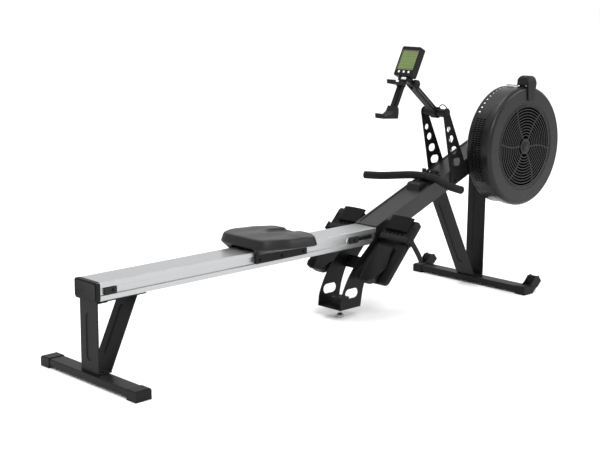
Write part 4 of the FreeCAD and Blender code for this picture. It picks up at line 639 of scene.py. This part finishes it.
def makeFootStraps():
    strap = {"width": 0.025, "thick": 0.0016, "along": 0.2025, "hangs": (0.86, 0.0, -0.5)}
    a = strap["along"]
    over = [(a, -0.0725, -0.012), (a, -0.0722, 0.004), (a, -0.0733, 0.0165), (a, -0.080, 0.0209),
            (a, -0.110, 0.0216), (a, -0.140, 0.0212), (a, -0.170, 0.0208), (a, -0.199, 0.0202),
            (a, -0.2125, 0.0178), (a, -0.2210, 0.0105), (a, -0.2248, 0.002), (a, -0.2255, -0.006)]
    hang = [(a + 0.004, -0.2275, 0.010), (a + 0.003, -0.2315, 0.004), (a - 0.002, -0.236, -0.012),
            (a - 0.010, -0.242, -0.034), (a - 0.020, -0.248, -0.058), (a - 0.030, -0.2525, -0.080)]
    for name, flip in (("footStrapRight", False), ("footStrapLeft", True)):
        for ending, line, across in (("", over, (1, 0, 0)), ("Tail", hang, strap["hangs"])):
            shape = bmesh.new()
            ribbon(shape, smoothPath(line), across, strap["width"])
            if flip:
                mirrored(shape)
            stands = ("foot_straps",) if name + ending == "footStrapRight" else ()
            makePiece(name + ending, shape, webFinish, "frame", stands,
                      place=boardPlace, solid=strap["thick"])


def makeBuckles():
    # two side bars, two cross bars and the bar in the middle, as (x, z) spans along the board
    buckle = {"outside": -0.2312, "inside": -0.2226, "edge": 0.0016, "barEdge": 0.0014,
              "sides": ((0.185, 0.1895), (0.2155, 0.220)), "sideZ": (-0.0085, 0.0155),
              "crossX": (0.187, 0.218), "crosses": ((0.0105, 0.0150), (-0.0080, -0.0040)),
              "barX": (0.1895, 0.2155), "barZ": (0.0015, 0.0068), "barDepth": 0.0042}
    shape = bmesh.new()
    outside, inside, edge = buckle["outside"], buckle["inside"], buckle["edge"]
    for flip in (False, True):
        part = bmesh.new()
        for start, end in buckle["sides"]:
            roundBlock(part, (start, outside, buckle["sideZ"][0]),
                       (end, inside, buckle["sideZ"][1]), edge)
        for low, high in buckle["crosses"]:
            roundBlock(part, (buckle["crossX"][0], outside + 0.0002, low),
                       (buckle["crossX"][1], inside - 0.0002, high), edge)
        roundBlock(part, (buckle["barX"][0], outside + 0.0002, buckle["barZ"][0]),
                   (buckle["barX"][1], inside - buckle["barDepth"], buckle["barZ"][1]),
                   buckle["barEdge"])
        if flip:
            mirrored(part)
        merge(shape, part)
    makePiece("strapBuckles", shape, plastic, "frame", ("strap_buckles",),
              place=boardPlace)


def makePullStrap():
    strap = {"width": 0.025, "thick": 0.0012, "handle": 1.7400, "fairlead": 1.7645,
             "height": 0.522, "parts": 8}
    run = strap["fairlead"] - strap["handle"]
    points = [(strap["handle"] + run * share / strap["parts"] - middle, 0,
               strap["height"] + strap["thick"] / 2) for share in range(strap["parts"] + 1)]
    shape = bmesh.new()
    ribbon(shape, points, (0, 1, 0), strap["width"])
    # it runs from the handle to the fairlead; its wall is real mesh
    bmesh.ops.solidify(shape, geom=shape.faces[:], thickness=strap["thick"])
    thing = newThing("pullStrap", shape, webFinish)
    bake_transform(thing)
    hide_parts("pull_strap")
    # the fixed end that goes over the fairlead and down into the beam
    route = [(1.7645, 0.5226), (1.769, 0.5222), (1.7735, 0.5250), (1.7770, 0.5265),
             (1.7830, 0.5230), (1.7930, 0.5130), (1.8050, 0.5060)]
    inner = bmesh.new()
    ribbon(inner, smoothPath([(x - middle, 0, z) for x, z in route]), (0, 1, 0), strap["width"])
    makePiece("pullStrapInner", inner, webFinish, "frame", (), solid=strap["thick"])


def makeLever():
    lever = {"angle": 5.0, "half": 0.033, "face": 0.1905, "out": 0.1968, "foot": 0.200,
             "rim": 0.2635, "top": 0.308, "back": 0.138, "shares": (0.14, 0.72, 0.14),
             "sideDrop": 0.008, "footMove": 0.004, "footNarrow": 0.62, "edge": 0.0024,
             "ribs": 5, "ribFirst": -0.020, "ribStep": 0.010, "ribHalf": 0.0016,
             "ribY": (-0.183, -0.160), "ribZ": (0.3066, 0.3084)}
    out, back, top = lever["out"], lever["back"], lever["top"]
    side = [(-lever["face"], lever["foot"]), (-lever["face"], lever["rim"]),
            (-back, lever["rim"]), (-back, 0.290), (-back - 0.007, 0.3035), (-back - 0.020, top),
            (-0.178, top), (-0.1895, 0.3035), (-0.1955, 0.291), (-out, 0.276),
            (-out, lever["foot"] + 0.004), (-out + 0.003, lever["foot"])]
    shape = bmesh.new()
    face = shape.faces.new([shape.verts.new((-lever["half"], y, z)) for y, z in side])
    for share in lever["shares"]:
        grown = bmesh.ops.extrude_face_region(shape, geom=[face])["geom"]
        fresh = freshOf(grown, bmesh.types.BMVert)
        bmesh.ops.translate(shape, vec=(lever["half"] * 2 * share, 0, 0), verts=fresh)
        face = freshOf(grown, bmesh.types.BMFace)[0]
    inside = [item for item in shape.faces if len(item.verts) > 4 and all(
        abs(abs(vert.co.x) - lever["half"]) > 0.001 for vert in item.verts)]
    bmesh.ops.delete(shape, geom=inside, context="FACES_ONLY")
    for vert in shape.verts:
        if abs(vert.co.x) > lever["half"] - 0.001 and vert.co.z > 0.29:
            vert.co.z -= lever["sideDrop"]
        if vert.co.z < 0.25:
            wide = lever["footNarrow"] + (1 - lever["footNarrow"]) * ease(vert.co.z, 0.2, 0.25)
            vert.co.x = lever["footMove"] + vert.co.x * wide
    bmesh.ops.recalc_face_normals(shape, faces=shape.faces)
    bevelEdges(shape, [edge for edge in shape.edges if edge.calc_face_angle(0.0) > 0.5],
               lever["edge"], 3)
    # the runner on the housing's rim, and the foot behind it
    prism(shape, [(-0.033, 0.2605), (-0.024, 0.2605), (-0.024, 0.2640), (-0.033, 0.2640)],
          -0.139, 0.055, 0.0007)
    prism(shape, [(-0.018, 0.2590), (0.018, 0.2590), (0.018, 0.2655), (-0.018, 0.2655)],
          -0.1430, -0.0043)
    for number in range(lever["ribs"]):
        x = lever["ribFirst"] + lever["ribStep"] * number
        roundBlock(shape, (x - lever["ribHalf"], lever["ribY"][0], lever["ribZ"][0]),
                   (x + lever["ribHalf"], lever["ribY"][1], lever["ribZ"][1]), 0.0006, 1)
    leaned = Matrix.Rotation(math.radians(lever["angle"]), 4, "Y")
    makePiece("damperGrip", shape, leverFinish, "damper", ("damper_lever",),
              place=fanPlace @ leaned)


def makeDialMarks():
    # marks that grow along the dial, in degrees round the housing
    dial = {"count": 9, "first": -9.0, "last": -52.0, "radius": 0.2572, "small": 0.0035,
            "large": 0.0085, "narrow": 0.32, "near": 0.0885, "sunk": 0.0006, "proud": 0.0002}
    shape = bmesh.new()
    for number in range(dial["count"]):
        share = number / (dial["count"] - 1)
        angle = dial["first"] + (dial["last"] - dial["first"]) * share
        size = dial["small"] + (dial["large"] - dial["small"]) * share
        half = size * dial["narrow"]
        part = bmesh.new()
        roundBlock(part, (-half, -dial["near"] - size / 2, dial["radius"] - dial["sunk"]),
                   (half, -dial["near"] + size / 2, dial["radius"] + dial["proud"]),
                   size * 0.12, 1)
        bmesh.ops.rotate(part, cent=(0, 0, 0), verts=part.verts,
                         matrix=Matrix.Rotation(math.radians(angle), 3, "Y"))
        merge(shape, part)
    makePiece("dialMarks", shape, markFinish, "frame", (), place=fanPlace)


def makeHubCap():
    # a low dome with a groove round it, as radius and rise off the grille
    cap = {"radius": 0.025, "face": 0.1911, "rise": 0.0032, "dome": 0.80, "fall": 0.55,
           "steps": 8, "rim": ((0.84, 0.0008), (0.88, 0.0020), (0.97, 0.0016), (1.0, -0.0002))}
    heights = [(0.0, cap["rise"])]
    for step in range(1, cap["steps"] + 1):
        share = step / cap["steps"]
        heights.append((cap["dome"] * share, cap["rise"] * (1 - cap["fall"] * share ** 2)))
    heights += cap["rim"]
    shape = bmesh.new()
    lathe(shape, [(cap["radius"] * out, -cap["face"] - rise, 0.0) for out, rise in heights], 64)
    makePiece("fanHubCap", shape, hubFinish, "frame", (), place=fanPlace)


def makeCoverRings():
    # fine raised beads on the front cover and round the grille, as radius and thickness
    beads = {"rings": ((0.1815, 0.0011), (0.2455, 0.0006)), "face": 0.1902, "steps": 6}
    shape = bmesh.new()
    turns = [math.pi * step / beads["steps"] for step in range(beads["steps"] + 1)]
    for radius, thick in beads["rings"]:
        part = bmesh.new()
        lathe(part, [(radius + thick * math.cos(turn), -beads["face"] - thick * math.sin(turn), 0.0)
                     for turn in turns], 96)
        merge(shape, part)
    makePiece("coverBeads", shape, shellPlastic, "frame", (), place=fanPlace)


def screwHead(shape, place, radius, tall):
    # a domed head with a hexagon socket, as shares of its radius and height
    head = {"profile": ((0.0, 0.62), (0.42, 0.62), (0.46, 1.0), (0.72, 0.93), (0.92, 0.66),
                        (1.0, 0.3), (1.0, 0.0)), "socket": (0.3, 0.5)}
    part = bmesh.new()
    lathe(part, [(radius * out, 0.0, tall * up) for out, up in head["profile"]], 24, (0, 0, 1))
    near, far = (radius * share for share in head["socket"])
    sixth = math.pi / 3
    for vert in part.verts:
        if near < math.hypot(vert.co.x, vert.co.y) < far:
            angle = math.atan2(vert.co.y, vert.co.x)
            hexagon = math.cos(sixth / 2) / math.cos((angle % sixth) - sixth / 2)
            vert.co.x *= hexagon
            vert.co.y *= hexagon
    bmesh.ops.transform(part, matrix=place, verts=part.verts)
    merge(shape, part)


def aim(x, y, z, direction):
    turn = Vector(direction).to_track_quat("Z", "Y").to_matrix().to_4x4()
    return Matrix.Translation((x - middle, y, z)) @ turn


def islandPlaces(node):
    # middle and size of each head in a group of heads
    shape = bmesh.new()
    shape.from_mesh(frame["nodes"][node].data)
    bmesh.ops.remove_doubles(shape, verts=shape.verts, dist=1e-5)
    places = []
    waiting = set(shape.verts)
    while waiting:
        stack = [waiting.pop()]
        found = []
        while stack:
            vert = stack.pop()
            found.append(vert.co.copy())
            for edge in vert.link_edges:
                other = edge.other_vert(vert)
                if other in waiting:
                    waiting.remove(other)
                    stack.append(other)
        low = Vector([min(point[axis] for point in found) for axis in range(3)])
        high = Vector([max(point[axis] for point in found) for axis in range(3)])
        places.append(((low + high) / 2, high - low))
    shape.free()
    return places


def makeScrews(name, node, body):
    shape = bmesh.new()
    for centre, size in islandPlaces(node):
        if size.z < size.x * 0.9:
            base = centre - Vector((0, 0, size.z / 2))
            screwHead(shape, Matrix.Translation(base), size.x / 2, size.z)
        else:
            outward = Vector((0, math.copysign(1.0, centre.y), 0))
            base = centre - outward * size.y / 2
            turn = outward.to_track_quat("Z", "Y").to_matrix().to_4x4()
            screwHead(shape, Matrix.Translation(base) @ turn, size.x / 2, size.y)
    makePiece(name, shape, boltFinish, body, (node,), smooth=False)


def makeMonitorFace():
    face = {"screenHalf": 0.041, "low": 0.037, "tall": 0.083, "rim": 0.0022,
            "rimX": (-0.0652, -0.0628), "digitX": (-0.06275, -0.0622), "firstRow": 0.0125,
            "rowStep": 0.0132, "margin": 0.006, "digitNarrow": 0.26, "line": 0.0003,
            "rows": ((0.010, 5), (0.007, 8), (0.010, 5), (0.007, 8), (0.009, 6), (0.005, 10))}
    bottom, top = face["low"], face["low"] + face["tall"]
    half, rim = face["screenHalf"], face["rim"]
    shape = bmesh.new()
    for low, high in (((-half - rim, bottom - rim), (half + rim, bottom)),
                      ((-half - rim, top), (half + rim, top + rim)),
                      ((-half - rim, bottom), (-half, top)),
                      ((half, bottom), (half + rim, top))):
        roundBlock(shape, (face["rimX"][0], *low), (face["rimX"][1], *high), 0.0006, 2)
    makePiece("screenRim", shape, rimFinish, "monitor", (), place=monitorPlace)
    digits = bmesh.new()
    line = face["line"]
    for row, (size, count) in enumerate(face["rows"]):
        base = top - face["firstRow"] - face["rowStep"] * row
        tall, wide = size / 2, size * face["digitNarrow"]
        for number in range(count):
            y = -half + face["margin"] + (half - face["margin"]) * 2 * (number + 0.5) / count
            left, right = y - wide, y + wide
            for low, high in (((left, base + tall - line * 2), (right, base + tall)),
                              ((left, base - line), (right, base + line)),
                              ((left, base - tall), (right, base - tall + line * 2)),
                              ((left - line, base), (left + line, base + tall)),
                              ((right - line, base - tall), (right + line, base))):
                block(digits, (face["digitX"][0], *low), (face["digitX"][1], *high))
    makePiece("screenDigits", digits, digitFinish, "monitor", (), place=monitorPlace,
              smooth=False)


def makeKeyMarks():
    # a plain raised mark on each key
    key = {"barMarks": (-0.016, -0.004), "barX": (-0.0633, -0.0619), "barZ": (-0.0032, 0.0004),
           "barY": (-0.0028, 0.0038), "step": 0.026, "half": 0.0024, "x": (-0.0668, -0.0655),
           "z": (0.0244, 0.0266)}
    marks = bmesh.new()
    for y in key["barMarks"]:
        roundBlock(marks, (key["barX"][0], y + key["barY"][0], key["barZ"][0]),
                   (key["barX"][1], y + key["barY"][1], key["barZ"][1]), 0.0006, 1)
    makePiece("keyBarMarks", marks, markFinish, "key_bar", (), place=monitorPlace)
    for number in (1, 2, 3):
        y = key["step"] * (number - 2)
        cap = bmesh.new()
        roundBlock(cap, (key["x"][0], y - key["half"], key["z"][0]),
                   (key["x"][1], y + key["half"], key["z"][1]), 0.0005, 1)
        makePiece("keyMark%d" % number, cap, markFinish, "key_%d" % number, (),
                  place=monitorPlace)


def makeTiltKnob():
    # a ribbed knob on its bolt, as radius and depth along the bolt
    knob = {"radius": 0.018, "start": 0.0153, "length": 0.024, "ribs": 20, "ribDeep": 0.055,
            "ribbedFrom": 0.0145, "bolt": 0.004, "boltEnd": 0.0150}
    start, end, radius = knob["start"], knob["start"] + knob["length"], knob["radius"]
    profile = [(0.0, -end), (0.0105, -end), (0.0115, -end + 0.0012), (0.0138, -0.0383),
               (0.0172, -0.0365), (radius, -0.0335), (radius, -0.0200), (0.0168, -0.0175),
               (0.0150, -start), (knob["bolt"], -start), (knob["bolt"], knob["boltEnd"]),
               (0.0, knob["boltEnd"])]
    shape = bmesh.new()
    lathe(shape, [(out, depth, 0.0) for out, depth in profile], 120)
    for vert in shape.verts:
        if math.hypot(vert.co.x, vert.co.z) > knob["ribbedFrom"]:
            angle = math.atan2(vert.co.z, vert.co.x)
            dent = 1 - knob["ribDeep"] * max(0.0, math.cos(angle * knob["ribs"])) ** 2
            vert.co.x *= dent
            vert.co.z *= dent
    makePiece("tiltKnob", shape, plastic, "knob", ("tilt_knob",),
              place=moved(*armTop))


def makeArmGrooveHighlights():
    # a lighter strip in the groove of each side of the arm: a painted highlight
    highlightStrip = {"half": 0.0026, "side": 0.0146, "thick": 0.0005, "z": (0.036, 0.178), "edge": 0.0004}
    shape = bmesh.new()
    for side in (-highlightStrip["side"], highlightStrip["side"]):
        roundBlock(shape, (-highlightStrip["half"], side - highlightStrip["thick"], highlightStrip["z"][0]),
                   (highlightStrip["half"], side + highlightStrip["thick"], highlightStrip["z"][1]), highlightStrip["edge"], 1)
    makePiece("armGrooveHighlight", shape, paintedGrooveHighlight, "arm", (),
              place=moved(arm["pivot"][0], 0.0, arm["pivot"][1], -arm["lean"]))


def makeCable():
    cable = {"diameter": 0.004, "inside": -0.0523, "end": 0.5547, "settle": 0.97}
    x, z = arm["pivot"]
    side = cable["inside"]
    route = [(x - 0.004, -0.022, z + 0.0175), (x - 0.006, -0.027, z + 0.034),
             (x + 0.004, side + 0.008, z + 0.036), (x + 0.0195, side, z + 0.012),
             (x + 0.026, side, z - 0.046), (x + 0.034, side, z - 0.100),
             (x + 0.050, side, z - 0.152), (x + 0.060, side, z - 0.200),
             (x + 0.076, side, cable["end"])]
    curve = bpy.data.curves.new("monitorCable", "CURVE")
    curve.dimensions = "3D"
    curve.bevel_depth = cable["diameter"] / 2
    curve.bevel_resolution = 4
    curve.use_fill_caps = True
    spline = curve.splines.new("NURBS")
    spline.points.add(len(route) - 1)
    for point, (px, py, pz) in zip(spline.points, route):
        point.co = (px - middle, py, pz, 1.0)
    spline.order_u = 3
    spline.use_endpoint_u = True
    spline.resolution_u = 12
    curve.materials.append(cableFinish)
    thing = bpy.data.objects.new("monitorCable", curve)
    bpy.context.scene.collection.objects.link(thing)
    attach(thing, "frame")
    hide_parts("monitor_cable")
    route[0][0] - middle


seatFinish = mouldedPlastic("seatFinish", 0.007, 0.38, 620.0, 0.25, gloss=0.22)
cupFinish = mouldedPlastic("cupFinish", 0.008, 0.46, 760.0, 0.3)
webFinish = wovenStrap("webFinish")
leverFinish = mouldedPlastic("leverFinish", 0.009, 0.42, 1100.0, 0.2)
hubFinish = mouldedPlastic("hubFinish", 0.005, 0.3, 1500.0, 0.06, gloss=0.15)
markFinish = mouldedPlastic("markFinish", 0.6, 0.5, 900.0, 0.05, (0.75, 0.75, 0.74))
rimFinish = mouldedPlastic("rimFinish", 0.2, 0.35, 900.0, 0.05, (0.10, 0.10, 0.09))
boltFinish = zincSteel("blackBolts", 0.012, 0.4)
digitFinish = mouldedPlastic("digitFinish", 0.03, 0.3, 900.0, 0.02, (0.035, 0.045, 0.025))
# bright metal for the painted highlight patches in the rail's groove
paintedHighlightMetal = zincSteel("paintedHighlightMetal", 0.8, 0.25)
# lighter grey for the painted highlight in the arm's grooves
paintedGrooveHighlight = mouldedPlastic("paintedGrooveHighlight", 0.12, 0.35, 900.0, 0.06, (0.05, 0.05, 0.052))
cableFinish = rubberSkin("cableFinish", 0.008, 0.55, 900.0)

makeCable()
makeSeat()
makeRailTrim()
makeEndCapPanel()
for side, flip in (("right", False), ("left", True)):
    cupName = "heelCup" + side.capitalize()
    makeHeelCup(cupName, "heel_" + side, "heel_cup_" + side, flip)
    makeSoleRibs(cupName + "Ribs", "heel_" + side, flip)
makeBoard("footboardRight", "footboard_right", False)
makeBoard("footboardLeft", "footboard_left", True)
makeBoardTrim("boardTrimRight", False)
makeBoardTrim("boardTrimLeft", True)
makeToeBands()
makeFootStraps()
makeBuckles()
print("seat and footrests made")
makePullStrap()
makeLever()
makeDialMarks()
makeHubCap()
makeCoverRings()
print("fan trim made")
makeScrews("frameScrews", "frame_fasteners", "frame")
makeScrews("carriageScrews", "carriage_screws", "seat")
makeMonitorFace()
makeKeyMarks()
makeTiltKnob()
makeArmGrooveHighlights()
print("monitor and screws made")


def makeStage():
    stage = {"size": 30.0, "hazeScale": 0.6, "low": (0.95, 0.95, 0.95), "high": (0.99, 0.99, 0.99),
             "rough": 0.9, "gloss": 0.1, "sky": (1.0, 1.0, 1.0, 1.0), "skyPower": 1.0}
    s = Shader("paleFloor")
    haze = s.noise(s.place(), stage["hazeScale"], 2.0)
    paleFloor = s.finish(Base_Color=s.mix(haze, stage["low"], stage["high"]),
                         Roughness=stage["rough"], Specular_IOR_Level=stage["gloss"])
    shape = bmesh.new()
    bmesh.ops.create_grid(shape, x_segments=1, y_segments=1, size=stage["size"])
    newThing("floor", shape, paleFloor)
    world = bpy.data.worlds.new("studio")
    world.use_nodes = True
    background = world.node_tree.nodes["Background"]
    background.inputs["Color"].default_value = stage["sky"]
    background.inputs["Strength"].default_value = stage["skyPower"]
    bpy.context.scene.world = world
    bpy.context.scene.view_settings.view_transform = "Standard"


def addLight(name, place, target, size, power):
    lamp = bpy.data.lights.new(name, "AREA")
    lamp.shape = "RECTANGLE"
    lamp.size, lamp.size_y = size
    lamp.energy = power
    thing = bpy.data.objects.new(name, lamp)
    bpy.context.scene.collection.objects.link(thing)
    thing.location = place
    thing.rotation_euler = (Vector(target) - Vector(place)).to_track_quat("-Z", "Y").to_euler()


def makeCamera():
    # place in metres, angles in degrees, lens in millimetres
    view = {"place": (-3.53487, -3.3541, 1.35986), "heading": 44.61, "pitch": -11.4, "roll": 0.49,
            "lens": 74.56, "sensor": 36.0}
    heading, pitch, roll = (math.radians(view[key]) for key in ("heading", "pitch", "roll"))
    ahead = Vector((math.sin(heading) * math.cos(pitch), math.cos(heading) * math.cos(pitch),
                    math.sin(pitch)))
    level = Vector((math.cos(heading), -math.sin(heading), 0.0))
    above = level.cross(ahead)
    right = level * math.cos(roll) + above * math.sin(roll)
    above = above * math.cos(roll) - level * math.sin(roll)
    camera = bpy.data.objects.new("camera", bpy.data.cameras.new("camera"))
    bpy.context.scene.collection.objects.link(camera)
    camera.data.lens = view["lens"]
    camera.data.sensor_width = view["sensor"]
    facing = Matrix((right, above, -ahead)).transposed().to_4x4()
    camera.matrix_world = Matrix.Translation(view["place"]) @ facing
    bpy.context.scene.camera = camera


def addSun():
    sun = {"strength": 0.7, "spread": 50.0, "from": (-1.2, -2.0, 4.0)}
    lamp = bpy.data.lights.new("softSun", "SUN")
    lamp.energy = sun["strength"]
    lamp.angle = math.radians(sun["spread"])
    thing = bpy.data.objects.new("softSun", lamp)
    bpy.context.scene.collection.objects.link(thing)
    thing.rotation_euler = (-Vector(sun["from"])).to_track_quat("-Z", "Y").to_euler()


makeStage()
addSun()
addLight("keyLight", (-2.6, -4.2, 4.2), (0.2, 0, 0.4), (2.0, 1.1), 120.0)
addLight("fillLight", (3.8, -3.4, 2.8), (0.4, 0, 0.5), (1.6, 1.4), 50.0)
addLight("topLight", (0.4, 1.6, 4.6), (0.2, 0, 0.3), (3.2, 0.9), 70.0)
makeCamera()
print("stage, lights and camera set")
